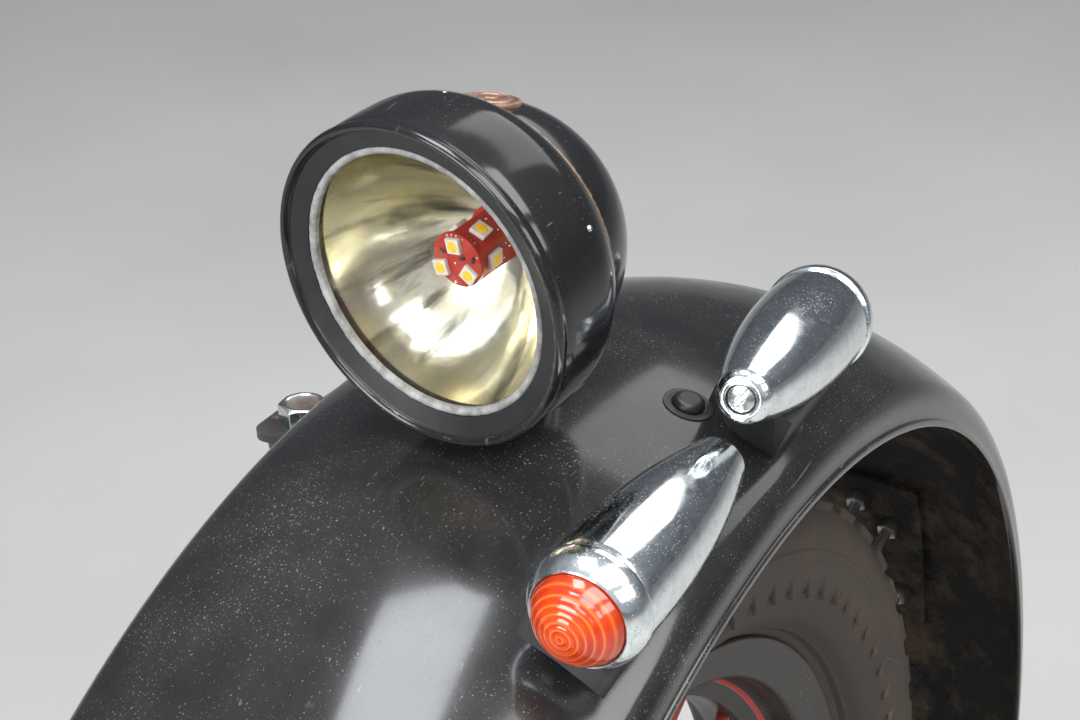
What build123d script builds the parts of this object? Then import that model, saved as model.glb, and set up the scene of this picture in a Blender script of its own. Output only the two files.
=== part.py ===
from build123d import *
import os
from math import atan2, cos, degrees, hypot, radians, sin, sqrt

# Sidecar wheel with its mudguard and lamps, as one unit that bolts to a chassis.
# Millimetres. +X forwards, +Y outboard, +Z up. The origin is the middle of the
# carrier's mounting face, on the axle line.

# Driving sizes of the wheel
wheel_offset = 110.0
tyre_section_height = 67.5
tyre_bulge_height = 28.0
tyre_half_width = 46.0
tyre_wall = 8.0
tyre_shoulder_drop = 15.0
tyre_shoulder_half_width = 40.0
rim_flange_radius = 216.5
rim_flange_half_width = 28.0
rim_flange_height = 13.5
rim_seat_half_width = 21.0
rim_toe_half_width = 15.0
rim_well_depth = 11.0
rim_well_half_width = 9.0
rim_wall = 2.4
spoke_radius = 1.75
spokes_per_side = 18
spoke_lean = 40.0
spoke_head_radius = 2.9
spoke_head_height = 1.4
nipple_radius = 2.6
nipple_length = 12.0
nipple_row_offset = 3.5
nipple_end_reach = 1.5
hub_length = 78.0
hub_barrel_radius = 22.0
hub_nose_radius = 19.0
hub_flange_step = 22.0
hub_flange_outer = 30.0
hub_flange_thickness = 5.0
spoke_circle_inset = 6.0
hub_cap_length = 30.0
hub_cap_wall = 2.0
hub_cap_rounding = 6.0
valve_radius = 3.0
valve_length = 30.0
valve_base = 3.0
axle_radius = 10.0
axle_end_reach = 3.0
axle_shoulder_step = 4.0
running_clearance = 0.06
fixed_clearance = 0.15

# Driving sizes of the carrier
carrier_radius = 90.0
carrier_thickness = 14.0
carrier_boss_radius = 22.0
carrier_root_radius = 8.0
axle_shoulder_length = 9.0
mount_spacing_x = 90.0
mount_spacing_z = 60.0
mount_hole_radius = 5.5
stay_bolt_inset = 12.0
counterbore_depth = 8.0
counterbore_radius = 9.0

# Driving sizes of the mudguard, its axis given from the wheel's axis
guard_back = 18.5
guard_lift = 18.2
tyre_crown_gap = 27.5
guard_half_width = 75.5
guard_side_shift = 2.5
guard_crown_height = 31.0
guard_flank = 3.0
guard_shoulder_radius = 11.0
guard_wall = 1.5
guard_front_angle = 9.0
guard_rear_angle = 193.0
hem_width = 2.6
hem_depth = 2.6

# Stays and bridges, angles round the mudguard's axis from straight ahead
stay_radius = 7.0
stay_tab_thickness = 5.0
stay_tab_half_width = 12.0
stay_bolt_radius = 4.0
top_bolt_half_flats = 7.15
top_bolt_head = 6.4
bridge_thickness = 3.0
bridge_tab_reach = 34.0
bridge_tab_hole_drop = 22.0

# Headlamp, its front rim's middle given by its distance forwards of the mudguard's top
# along the crown, its distance outboard of the mudguard's middle and its gap to the crown
lamp_forward = 53.204
lamp_side_shift = -9.9
lamp_crown_gap = 5.236
lamp_pitch = -6.1
lamp_yaw = -8.3
lamp_radius = 47.2
lamp_band_depth = 20.6
lamp_curve_depth = 12.8
lamp_curve_drop = 7.4
lamp_bowl_depth = 34.8
lamp_wall = 1.2
lamp_lip_depth = 3.3
lamp_lip_width = 1.2
lamp_lip_reach = 7.9
seal_width = 2.6
seal_thickness = 2.0
glass_thickness = 3.0
glass_bearing = 3.0
reflector_wall = 0.8
reflector_depth = 34.0
bulb_radius = 8.3
bulb_face_depth = 18.7
bulb_length = 21.0
bulb_holder_radius = 9.0
bulb_holder_length = 16.0
lamp_foot_behind_crease = 12.6
lamp_foot_radius = 11.0
lamp_gasket_radius = 14.4
lamp_gasket_thickness = 2.0
lamp_stud_radius = 4.0
lamp_stud_grip = 5.0
lamp_stud_end_reach = 3.0
badge_radius = 8.0
badge_height = 1.0
badge_behind_crease = 5.9

# Marker lamps, the same casting turned about: distances forwards of the mudguard's top,
# insets from the mudguard's edge and rises over the mudguard
front_marker_forward = 106.527
rear_marker_forward = -56.101
front_marker_inset = 13.4
front_marker_rise = 26.35
rear_marker_inset = 16.0
rear_marker_rise = 22.573
marker_rim_radius = 16.6
marker_waist_step = 0.6
marker_collar_depth = 10.0
marker_tail_radius = 5.6
marker_length = 84.0
marker_casing_wall = 2.4
marker_bore_depth = 18.0
marker_lens_step = 0.7
marker_lens_reach = 9.0
marker_lip = 2.4
marker_screw_radius = 4.5
marker_screw_head = 1.6
marker_shank_radius = 2.0
marker_pad_half_length = 26.0
marker_pad_half_width = 13.0
marker_pad_back = 35.0
marker_stud_back = 23.0
marker_stud_radius = 2.5

# Sizes that follow from the driving sizes
rim_seat_radius = rim_flange_radius - rim_flange_height
rim_well_radius = rim_seat_radius - rim_well_depth
tyre_radius = rim_flange_radius + tyre_section_height
tyre_side_radius = rim_flange_radius + tyre_bulge_height
hub_flange_radius = hub_barrel_radius + hub_flange_step
spoke_circle_radius = hub_flange_radius - spoke_circle_inset
carrier_boss_reach = wheel_offset - hub_length / 2 - axle_shoulder_length
stay_bolt_circle = carrier_radius - stay_bolt_inset
guard_edge_radius = tyre_radius + tyre_crown_gap - guard_crown_height
lamp_crease_depth = lamp_band_depth + lamp_curve_depth
lamp_crease_radius = lamp_radius - lamp_curve_drop
lamp_depth = lamp_crease_depth + lamp_bowl_depth
lamp_window_radius = lamp_radius - lamp_lip_reach
lamp_foot_depth = lamp_crease_depth + lamp_foot_behind_crease
badge_depth = lamp_crease_depth + badge_behind_crease
marker_waist_radius = marker_rim_radius - marker_waist_step
marker_bore_radius = marker_waist_radius - marker_casing_wall
marker_lens_radius = marker_bore_radius - marker_lens_step

os.makedirs("parts", exist_ok=True)


def export(piece, name):
    piece.part.label = name
    export_step(piece.part, "parts/" + name + ".step")


def section_plane(origin, direction):
    """Plane whose local x is a radius and whose local y runs along the direction."""
    side = direction.cross(Vector(0, 0, 1)).normalized()
    return Plane(origin=origin, x_dir=side, z_dir=side.cross(direction))


def heading(yaw, pitch):
    """Unit vector that is turned by yaw from +X and raised by pitch."""
    level = cos(radians(pitch))
    return Vector(cos(radians(yaw)) * level, sin(radians(yaw)) * level, sin(radians(pitch)))


# Wheel frame: local x is the radius, local y runs outboard along the axle
wheel_centre = Vector(0, wheel_offset, 0)
wheel_plane = Plane(origin=wheel_centre, x_dir=(1, 0, 0), z_dir=(0, 0, 1))
axle_axis = Axis((0, 0, 0), (0, 1, 0))


def around_axle(angle):
    """Unit vector across the axle, at an angle from straight ahead towards the top."""
    return Vector(cos(radians(angle)), 0, sin(radians(angle)))


# Rim: a dropped centre between two bead seats, with flanges that curl outwards
rim_tyre_side = [
    (rim_flange_radius, rim_flange_half_width),
    (rim_seat_radius + rim_wall, rim_seat_half_width + 1.5 * rim_wall),
    (rim_seat_radius, rim_seat_half_width),
    (rim_seat_radius, rim_toe_half_width),
    (rim_well_radius, rim_well_half_width),
]
rim_hub_side = [
    (rim_flange_radius, rim_flange_half_width + rim_wall),
    (rim_seat_radius - 0.4 * rim_wall, rim_seat_half_width + 2 * rim_wall),
    (rim_seat_radius - rim_wall, rim_seat_half_width + 0.4 * rim_wall),
    (rim_seat_radius - rim_wall, rim_toe_half_width + rim_wall / 2),
    (rim_well_radius - rim_wall, rim_well_half_width + rim_wall / 2),
]


def mirrored(points):
    return [(radius, -side) for radius, side in reversed(points)]


# Spokes: each runs from the hub's flange to its nipple in the rim's well
spoke_pitch = 360.0 / spokes_per_side
hub_half = hub_length / 2


def spoke_ends(side, outside, rim_angle):
    """Foot on the hub's flange and foot of the nipple, for one spoke."""
    if outside:
        foot_side = hub_flange_outer + 2.1 * spoke_radius
    else:
        foot_side = hub_flange_outer - hub_flange_thickness - 2.1 * spoke_radius
    lean = spoke_lean if outside else -spoke_lean
    foot = wheel_centre + around_axle(rim_angle + lean) * spoke_circle_radius
    foot += Vector(0, side * foot_side, 0)
    well = wheel_centre + around_axle(rim_angle) * (rim_well_radius - rim_wall)
    well += Vector(0, side * nipple_row_offset, 0)
    return foot, well


def rod_plane(start, end):
    """Plane at the start of a rod, facing along it."""
    return Plane(origin=start, z_dir=end - start)


def make_rim():
    with BuildPart() as rim:
        with BuildSketch(wheel_plane):
            with BuildLine():
                outline = rim_tyre_side + mirrored(rim_tyre_side)
                back = rim_hub_side + mirrored(rim_hub_side)
                Polyline(*outline, *reversed(back), close=True)
            make_face()
        revolve(axis=axle_axis)
        for side in (1, -1):
            for number in range(spokes_per_side):
                for outside in (True, False):
                    if outside == (number % 2 == 0):
                        start, end = spoke_ends(side, outside, rim_angle_of(side, number))
                        direction = (end - start).normalized()
                        with BuildSketch(rod_plane(end - direction * nipple_length, end)):
                            Circle(nipple_radius + fixed_clearance)
                        extrude(amount=2 * nipple_length, mode=Mode.SUBTRACT)
        with BuildSketch(Plane(origin=wheel_centre, z_dir=around_axle(valve_angle))):
            Circle(valve_radius + fixed_clearance)
        extrude(amount=rim_seat_radius, mode=Mode.SUBTRACT)
    return rim


valve_angle = 90.0 + spoke_pitch / 4


def rim_angle_of(side, number):
    """Angle of a spoke's hole in the rim; the two sides alternate round the rim."""
    half_step = 0 if side > 0 else 0.5
    return (number + half_step) * spoke_pitch


rim = make_rim()
export(rim, "rim")

# Nipples stand through the rim's well
with BuildPart() as nipples:
    for side in (1, -1):
        for number in range(spokes_per_side):
            start, end = spoke_ends(side, number % 2 == 0, rim_angle_of(side, number))
            direction = (end - start).normalized()
            with BuildSketch(rod_plane(end - direction * nipple_length, end)):
                Circle(nipple_radius)
            extrude(amount=nipple_length + rim_wall + nipple_end_reach)
export(nipples, "spoke_nipples")


# Spokes of one side, each with its elbow and head in the flange
def make_spokes(side):
    flange_middle = hub_flange_outer - hub_flange_thickness / 2
    with BuildPart() as spokes:
        for number in range(spokes_per_side):
            outside = number % 2 == 0
            start, end = spoke_ends(side, outside, rim_angle_of(side, number))
            direction = (end - start).normalized()
            with BuildSketch(rod_plane(start, end)):
                Circle(spoke_radius)
            extrude(amount=(end - start).length - nipple_length)
            with Locations(start):
                Sphere(spoke_radius)
            inwards = Vector(0, -side if outside else side, 0)
            head_face = hub_flange_thickness / 2
            reach = abs(abs(start.Y - wheel_offset) - flange_middle) + head_face
            with BuildSketch(rod_plane(start, start + inwards)):
                Circle(spoke_radius)
            extrude(amount=reach + spoke_head_height)
            with BuildSketch(rod_plane(start + inwards * reach, start + inwards * (reach + 1))):
                Circle(spoke_head_radius)
            extrude(amount=spoke_head_height)
    return spokes


export(make_spokes(1), "outer_spokes")
export(make_spokes(-1), "inner_spokes")

# Hub: two flanges on a barrel, drilled for the spokes
with BuildPart() as hub:
    flange_inner = hub_flange_outer - hub_flange_thickness
    half_outline = [
        (axle_radius + running_clearance, hub_half),
        (hub_nose_radius, hub_half),
        (hub_nose_radius, hub_flange_outer),
        (hub_flange_radius, hub_flange_outer),
        (hub_flange_radius, flange_inner),
        (hub_barrel_radius, flange_inner),
    ]
    with BuildSketch(wheel_plane):
        with BuildLine():
            Polyline(*half_outline, *mirrored(half_outline), close=True)
        make_face()
    revolve(axis=axle_axis)
    for side in (1, -1):
        for number in range(spokes_per_side):
            start, end = spoke_ends(side, number % 2 == 0, rim_angle_of(side, number))
            hole_start = Vector(start.X, wheel_offset + side * (flange_inner - 1), start.Z)
            with BuildSketch(rod_plane(hole_start, hole_start + Vector(0, side, 0))):
                Circle(spoke_radius + fixed_clearance)
            extrude(amount=hub_flange_thickness + 2, mode=Mode.SUBTRACT)
export(hub, "hub")

# Tyre: a hollow casing with its beads on the rim's seats
with BuildPart() as tyre:
    with BuildSketch(wheel_plane):
        shoulder_radius = tyre_radius - tyre_shoulder_drop
        bead_toe = (rim_seat_radius, rim_toe_half_width)
        bead_heel = rim_tyre_side[2]
        bead_face = rim_tyre_side[1]
        flange_top = rim_tyre_side[0]
        outer_side = (tyre_side_radius, tyre_half_width)
        shoulder = (shoulder_radius, tyre_shoulder_half_width)
        inner_side = (tyre_side_radius, tyre_half_width - tyre_wall)
        inner_bead = (rim_flange_radius, rim_flange_half_width - tyre_wall)
        inner_shoulder = (shoulder_radius - tyre_wall, tyre_shoulder_half_width - tyre_wall)
        with BuildLine():
            Polyline(inner_bead, bead_toe, bead_heel, bead_face, flange_top)
            ThreePointArc(flange_top, outer_side, shoulder)
            ThreePointArc(shoulder, (tyre_radius, 0), (shoulder[0], -shoulder[1]))
            ThreePointArc(
                (shoulder[0], -shoulder[1]),
                (outer_side[0], -outer_side[1]),
                (flange_top[0], -flange_top[1]),
            )
            Polyline(*mirrored([inner_bead, bead_toe, bead_heel, bead_face, flange_top]))
            ThreePointArc(
                (inner_bead[0], -inner_bead[1]),
                (inner_side[0], -inner_side[1]),
                (inner_shoulder[0], -inner_shoulder[1]),
            )
            ThreePointArc(
                (inner_shoulder[0], -inner_shoulder[1]),
                (tyre_radius - tyre_wall, 0),
                inner_shoulder,
            )
            ThreePointArc(inner_shoulder, inner_side, inner_bead)
        make_face()
    revolve(axis=axle_axis)
export(tyre, "tyre")

# Valve: a stem through the rim's well
with BuildPart() as valve:
    valve_plane = Plane(origin=wheel_centre, z_dir=around_axle(valve_angle))
    with BuildSketch(valve_plane.offset(rim_well_radius - rim_wall - valve_length)):
        Circle(valve_radius)
    extrude(amount=valve_length + rim_wall + valve_base)
export(valve, "valve")

# Stub axle with its shoulder against the carrier's boss
boss_face = carrier_boss_reach
hub_inner_face = wheel_offset - hub_half
hub_outer_face = wheel_offset + hub_half
nut_thickness = 10.0
washer_thickness = 2.0
washer_radius = 14.0
nut_half_flats = 12.0
axle_play = 0.5
with BuildPart() as stub_axle:
    axle_end = hub_outer_face + washer_thickness + nut_thickness + axle_end_reach
    with BuildSketch(Plane.XZ.offset(-axle_end)):
        Circle(axle_radius)
    extrude(amount=axle_end)
    with BuildSketch(Plane.XZ.offset(-hub_inner_face + axle_play)):
        Circle(axle_radius + axle_shoulder_step)
    extrude(amount=hub_inner_face - axle_play - boss_face)
export(stub_axle, "stub_axle")

with BuildPart() as axle_washer:
    with BuildSketch(Plane.XZ.offset(-hub_outer_face - axle_play)):
        Circle(washer_radius)
        Circle(axle_radius, mode=Mode.SUBTRACT)
    extrude(amount=-washer_thickness)
export(axle_washer, "axle_washer")

with BuildPart() as axle_nut:
    with BuildSketch(Plane.XZ.offset(-hub_outer_face - axle_play - washer_thickness)):
        RegularPolygon(nut_half_flats, 6, major_radius=False)
        Circle(axle_radius, mode=Mode.SUBTRACT)
    extrude(amount=-nut_thickness + 0.5)
export(axle_nut, "axle_nut")

# Hub cap: a cup pressed over the hub's nose, its rim rounded
with BuildPart() as hub_cap:
    cap_plane = Plane.XZ.offset(-wheel_offset - hub_flange_outer)
    cap_length = hub_half - hub_flange_outer + hub_cap_length
    with BuildSketch(cap_plane):
        Circle(hub_nose_radius + hub_cap_wall)
    extrude(amount=-cap_length)
    fillet(hub_cap.edges().sort_by(Axis.Y)[-1], hub_cap_rounding)
    with BuildSketch(cap_plane):
        Circle(hub_nose_radius)
    extrude(amount=hub_cap_wall - cap_length, mode=Mode.SUBTRACT)
export(hub_cap, "hub_cap")

# Mudguard: an arched section swept round its own axis, a little behind and above the axle
guard_axis_point = Vector(-guard_back, wheel_offset + guard_side_shift, guard_lift)
guard_axis = Axis(guard_axis_point, (0, -1, 0))


def guard_plane(angle):
    """Section plane at an angle: local x is the radius past the edge, local y outboard."""
    out = around_axle(angle)
    return Plane(
        origin=guard_axis_point + out * guard_edge_radius,
        x_dir=out,
        z_dir=out.cross(Vector(0, 1, 0)),
    )


def crown_radius(inset):
    """Radius of the crown's arc that is tangent to both shoulders."""
    reach = guard_half_width - guard_shoulder_radius
    rise = guard_crown_height - guard_flank
    outer = (reach**2 + rise**2 - guard_shoulder_radius**2) / (2 * (rise - guard_shoulder_radius))
    return outer - inset


def shoulder_tangent(inset):
    """Where the shoulder's arc meets the crown's arc, in the section plane."""
    reach = guard_half_width - guard_shoulder_radius
    depth = crown_radius(0) - guard_crown_height + guard_flank
    span = hypot(depth, reach)
    radius = guard_shoulder_radius - inset
    return guard_flank + radius * depth / span, reach + radius * reach / span


def crown_height_at(side, inset):
    """Height of the crown's arc past the edge, at a distance outboard of its middle."""
    return guard_crown_height - crown_radius(0) + sqrt(crown_radius(inset) ** 2 - side**2)


def arch_lines(inset):
    """Lines of the arch from the inboard edge over the crown to the outboard edge."""
    half = guard_half_width - inset
    high, side = shoulder_tangent(inset)
    Line((0, -half), (guard_flank, -half))
    TangentArc((guard_flank, -half), (high, -side), tangent=(1, 0))
    ThreePointArc((high, -side), (guard_crown_height - inset, 0), (high, side))
    TangentArc((guard_flank, half), (high, side), tangent=(1, 0))
    Line((guard_flank, half), (0, half))


def guard_point(angle, side, inset=0.0):
    """Point on the mudguard at an angle and a distance outboard of its middle."""
    high, edge = shoulder_tangent(inset)
    if abs(side) <= edge:
        height = crown_height_at(side, inset)
    else:
        radius = guard_shoulder_radius - inset
        across = abs(side) - (guard_half_width - guard_shoulder_radius)
        height = guard_flank + sqrt(radius**2 - across**2)
    out = around_axle(angle) * (guard_edge_radius + height)
    return guard_axis_point + out + Vector(0, side, 0)


def guard_normal(angle, side):
    """Outward normal of the crown at an angle and a distance outboard of its middle."""
    depth = sqrt(crown_radius(0) ** 2 - side**2)
    return (around_axle(angle) * depth + Vector(0, side, 0)).normalized()


def crown_angle(forward):
    """Angle of a place that lies a distance forwards of the top, along the crown."""
    return 90.0 - degrees(forward / (guard_edge_radius + guard_crown_height))


def above_crown(forward, side, rise):
    """Point at a height over the crown, a distance forwards of the top and outboard."""
    angle = crown_angle(forward)
    return guard_point(angle, side) + around_axle(angle) * rise


guard_sweep = guard_rear_angle - guard_front_angle

# Bridges: name, angle of the strap's middle, half its angular width, outboard end
bridge_table = [
    ("front", 27.0, 5.0, 24.0),
    ("top", 91.0, 3.0, -14.0),
    ("rear", 163.0, 8.0, 24.0),
]
# Bolts through the crown: bridge, angle, distance outboard of the middle, bare thread
crown_bolt_table = [
    ("front", 24.5, -14.0, 1.0),
    ("front", 29.5, -14.0, 1.0),
    ("front", 27.0, 14.0, 1.0),
    ("top", 91.0, -50.0, 1.0),
    ("top", 91.0, -24.0, 1.0),
    ("rear", 157.6, -4.5, 12.0),
    ("rear", 160.3, 9.5, 12.0),
    ("rear", 168.0, 12.5, 12.0),
]
crown_bolt_radius = 2.5
crown_nut_half_flats = 4.0
crown_nut_thickness = 4.5

lamp_direction = heading(lamp_yaw, lamp_pitch)
lamp_front = above_crown(lamp_forward, lamp_side_shift, lamp_radius + lamp_crown_gap)
lamp_foot_top = lamp_front - lamp_direction * lamp_foot_depth
lamp_foot_angle = degrees(atan2(lamp_foot_top.Z - guard_lift, lamp_foot_top.X + guard_back))
lamp_foot_side = lamp_foot_top.Y - guard_axis_point.Y
lamp_foot_point = guard_point(lamp_foot_angle, lamp_foot_side)
lamp_foot_normal = guard_normal(lamp_foot_angle, lamp_foot_side)

# Marker lamps: name, distance forwards, inset, rise, yaw and pitch of the lens
marker_table = [
    ("front_marker", front_marker_forward, front_marker_inset, front_marker_rise, -0.5, -2.0),
    ("rear_marker", rear_marker_forward, rear_marker_inset, rear_marker_rise, 186.0, -8.0),
]
dome_bolt_forward = -3.262
dome_bolt_inset = 35.5
dome_bolt_angle = crown_angle(dome_bolt_forward)
dome_bolt_side = guard_half_width - dome_bolt_inset
dome_bolt_radius = 2.6
dome_head_radius = 4.8
dome_head_height = 2.6


def marker_foot(front, direction, back):
    """Point and normal on the mudguard under a marker lamp, at a distance behind its rim."""
    middle = front - direction * back
    angle = degrees(atan2(middle.Z - guard_lift, middle.X + guard_back))
    side = middle.Y - guard_axis_point.Y
    for step in range(6):
        point = guard_point(angle, side)
        normal = guard_normal(angle, side)
        away = middle - point
        across = away - normal * away.dot(normal)
        side += across.Y
        angle += degrees(across.dot(around_axle(angle + 90.0)) / guard_edge_radius)
    return guard_point(angle, side), guard_normal(angle, side), middle


with BuildPart() as guard_block:
    with BuildSketch(guard_plane(guard_front_angle)):
        with BuildLine():
            arch_lines(0)
            Line((0, guard_half_width), (0, -guard_half_width))
        make_face()
    revolve(axis=guard_axis, revolution_arc=guard_sweep)

# Holes in the crown: point, normal and the radius of what passes through
drill_depth = 8.0
guard_holes = [(lamp_foot_point, lamp_foot_normal, lamp_stud_radius)]
guard_holes.append(
    (
        guard_point(dome_bolt_angle, dome_bolt_side),
        guard_normal(dome_bolt_angle, dome_bolt_side),
        dome_bolt_radius,
    )
)
for bridge, angle, side, thread in crown_bolt_table:
    guard_holes.append((guard_point(angle, side), guard_normal(angle, side), crown_bolt_radius))
for name, forward, inset, rise, yaw, pitch in marker_table:
    front = above_crown(forward, guard_half_width - inset, rise)
    point, normal, middle = marker_foot(front, heading(yaw, pitch), marker_stud_back)
    guard_holes.append((point, normal, marker_stud_radius))

with BuildPart() as mudguard:
    with BuildSketch(guard_plane(guard_front_angle)):
        with BuildLine():
            arch_lines(0)
            arch_lines(guard_wall)
            for half in (guard_half_width, -guard_half_width):
                wall = guard_wall if half > 0 else -guard_wall
                Line((0, half), (0, half - wall))
        make_face()
        hem_middle = guard_half_width - guard_wall + hem_width / 2
        with Locations((-hem_depth / 2, hem_middle), (-hem_depth / 2, -hem_middle)):
            RectangleRounded(hem_depth, hem_width, 0.5)
    revolve(axis=guard_axis, revolution_arc=guard_sweep)
    for point, normal, radius in guard_holes:
        with BuildSketch(Plane(origin=point - normal * drill_depth, z_dir=normal)):
            Circle(radius + fixed_clearance)
    extrude(amount=2 * drill_depth, mode=Mode.SUBTRACT)
export(mudguard, "mudguard")

# Bridges: straps inside the crown whose inboard end hangs down as a tab
bridge_tab_side = guard_half_width - guard_wall
top_flange_reach = 36.0
top_flange_drop = 16.0
top_bolt_inset = 21.8
top_bolt_radius = 4.0
for name, angle, half_angle, outboard_end in bridge_table:
    is_top = name == "top"
    tab_reach = top_flange_drop if is_top else bridge_tab_reach
    with BuildPart() as bridge:
        with BuildSketch(guard_plane(angle - half_angle)):
            with BuildLine():
                arch_lines(guard_wall)
                arch_lines(guard_wall + bridge_thickness)
                for half in (bridge_tab_side, -bridge_tab_side):
                    wall = bridge_thickness if half > 0 else -bridge_thickness
                    Line((0, half), (0, half - wall))
            make_face()
            with Locations((0, bridge_tab_side)):
                cut = bridge_tab_side - outboard_end
                Rectangle(4 * guard_crown_height, 2 * cut, mode=Mode.SUBTRACT)
            with Locations((-tab_reach / 2, -bridge_tab_side + bridge_thickness / 2)):
                Rectangle(tab_reach, bridge_thickness)
            if is_top:
                corner = -bridge_tab_side + bridge_thickness
                with Locations((-tab_reach + bridge_thickness / 2, corner - top_flange_reach / 2)):
                    Rectangle(bridge_thickness, top_flange_reach)
        revolve(axis=guard_axis, revolution_arc=2 * half_angle)
        out = around_axle(angle)
        if is_top:
            fixing = guard_axis_point + out * (guard_edge_radius - top_flange_drop)
            fixing += Vector(0, -bridge_tab_side - top_bolt_inset, 0)
            bridge_holes = [(fixing, out, top_bolt_radius)]
        else:
            fixing = guard_axis_point + out * (guard_edge_radius - bridge_tab_hole_drop)
            fixing += Vector(0, -bridge_tab_side, 0)
            bridge_holes = [(fixing, Vector(0, 1, 0), stay_bolt_radius)]
        for owner, bolt_angle, side, thread in crown_bolt_table:
            if owner == name:
                point = guard_point(bolt_angle, side)
                bridge_holes.append((point, guard_normal(bolt_angle, side), crown_bolt_radius))
        for point, normal, radius in bridge_holes:
            with BuildSketch(Plane(origin=point - normal * drill_depth, z_dir=normal)):
                Circle(radius + fixed_clearance)
        extrude(amount=2 * drill_depth, mode=Mode.SUBTRACT)
    export(bridge, name + "_bridge")

# Bolts of the bridges, heads outside and nuts inside
nut_seat_gap = 0.2
for name, angle, half_angle, outboard_end in bridge_table:
    with BuildPart() as bolts:
        for owner, bolt_angle, side, thread in crown_bolt_table:
            if owner == name:
                normal = guard_normal(bolt_angle, side)
                point = guard_point(bolt_angle, side)
                with BuildSketch(Plane(origin=point, z_dir=normal)):
                    Circle(crown_nut_half_flats + 1)
                extrude(amount=1.0)
                with BuildSketch(Plane(origin=point + normal, z_dir=normal)):
                    RegularPolygon(crown_nut_half_flats, 6, major_radius=False)
                extrude(amount=crown_nut_thickness - 1)
                grip = guard_wall + bridge_thickness + nut_seat_gap
                nut_plane = Plane(origin=point - normal * grip, z_dir=-normal)
                with BuildSketch(nut_plane):
                    RegularPolygon(crown_nut_half_flats, 6, major_radius=False)
                extrude(amount=crown_nut_thickness)
                with BuildSketch(Plane(origin=point, z_dir=-normal)):
                    Circle(crown_bolt_radius)
                extrude(amount=grip + crown_nut_thickness + thread)
    export(bolts, name + "_bridge_bolts")

# Carrier: a round plate with a boss that holds the stub axle
stay_angles = {name: angle for name, angle, half_angle, outboard_end in bridge_table}
with BuildPart() as axle_carrier:
    with BuildSketch(Plane.XZ):
        Circle(carrier_radius)
        Circle(axle_radius, mode=Mode.SUBTRACT)
        with GridLocations(mount_spacing_x, mount_spacing_z, 2, 2):
            Circle(mount_hole_radius, mode=Mode.SUBTRACT)
        for angle in stay_angles.values():
            with PolarLocations(stay_bolt_circle, 1, angle):
                Circle(stay_bolt_radius + fixed_clearance, mode=Mode.SUBTRACT)
    extrude(amount=-carrier_thickness)
    with BuildSketch(Plane.XZ.offset(-carrier_thickness)):
        Circle(carrier_boss_radius)
        Circle(axle_radius, mode=Mode.SUBTRACT)
    extrude(amount=carrier_thickness - carrier_boss_reach)
    with BuildSketch(Plane.XZ):
        for angle in stay_angles.values():
            with PolarLocations(stay_bolt_circle, 1, angle):
                Circle(counterbore_radius)
    extrude(amount=-counterbore_depth, mode=Mode.SUBTRACT)
    root = axle_carrier.edges().filter_by(GeomType.CIRCLE)
    root = root.filter_by(lambda edge: abs(edge.radius - carrier_boss_radius) < 0.01)
    fillet(root.sort_by(Axis.Y)[0], carrier_root_radius)
export(axle_carrier, "axle_carrier")

# Stays: a tube between two flattened ends
tab_middle = carrier_thickness + stay_tab_thickness / 2
guard_tab_face = wheel_offset + guard_side_shift - bridge_tab_side
top_bolt_out = guard_edge_radius - top_flange_drop
flange_sag = top_bolt_out * (1 - cos(radians(bridge_table[1][2])))
flange_side = guard_tab_face - top_bolt_inset
top_tube_back = 17.0
tube_side_gap = 0.2
tube_side_shift = stay_radius + tube_side_gap
tube_end_gap = 13.0


def flat_end(face, direction, run, length):
    """Tab that starts on a face: round about the bolt, with a strap along the run."""
    across = (run - direction * run.dot(direction)).normalized()
    with BuildPart(mode=Mode.PRIVATE) as end:
        with BuildSketch(Plane(origin=face, x_dir=across, z_dir=direction)):
            Circle(stay_tab_half_width)
            with Locations((length / 2, 0)):
                Rectangle(length, 2 * stay_radius)
        extrude(amount=stay_tab_thickness)
    return end.part


def upper_fixing(name, angle):
    """Face of the bridge that the stay's upper end rests on, and its inward normal."""
    if name == "top":
        point = guard_axis_point + around_axle(angle) * (top_bolt_out - flange_sag)
        return Vector(point.X, flange_side, point.Z), around_axle(angle) * -1
    point = guard_axis_point + around_axle(angle) * (guard_edge_radius - bridge_tab_hole_drop)
    return Vector(point.X, guard_tab_face, point.Z), Vector(0, -1, 0)


for name, angle, half_angle, outboard_end in bridge_table:
    lower_hole = around_axle(stay_angles[name]) * stay_bolt_circle
    lower_face = lower_hole + Vector(0, carrier_thickness, 0)
    lower_middle = lower_hole + Vector(0, tab_middle, 0)
    upper_face, inward = upper_fixing(name, angle)
    if name == "top":
        back = around_axle(angle + 90)
        tube_end = upper_face + inward * (stay_tab_thickness / 2) + back * top_tube_back
    else:
        tube_end = upper_face + inward * tube_side_shift
    run = (tube_end - lower_middle).normalized()
    tube_start = lower_middle + run * (1.5 * stay_tab_half_width)
    tube_length = (tube_end - tube_start).length
    with BuildPart() as stay:
        with BuildSketch(rod_plane(tube_start, tube_end)):
            Circle(stay_radius)
        extrude(amount=tube_length if name == "top" else tube_length - tube_end_gap)
        add(flat_end(lower_face, Vector(0, 1, 0), run, 1.6 * stay_tab_half_width))
        if name == "top":
            add(flat_end(upper_face, inward, back, top_tube_back + stay_tab_half_width))
        else:
            add(flat_end(upper_face, inward, run * -1, 1.6 * stay_tab_half_width))
        for face, direction in ((lower_face, Vector(0, 1, 0)), (upper_face, inward)):
            with BuildSketch(Plane(origin=face - direction, z_dir=direction)):
                Circle(stay_bolt_radius + fixed_clearance)
        extrude(amount=stay_tab_thickness + 2, mode=Mode.SUBTRACT)
    export(stay, name + "_stay")


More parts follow.
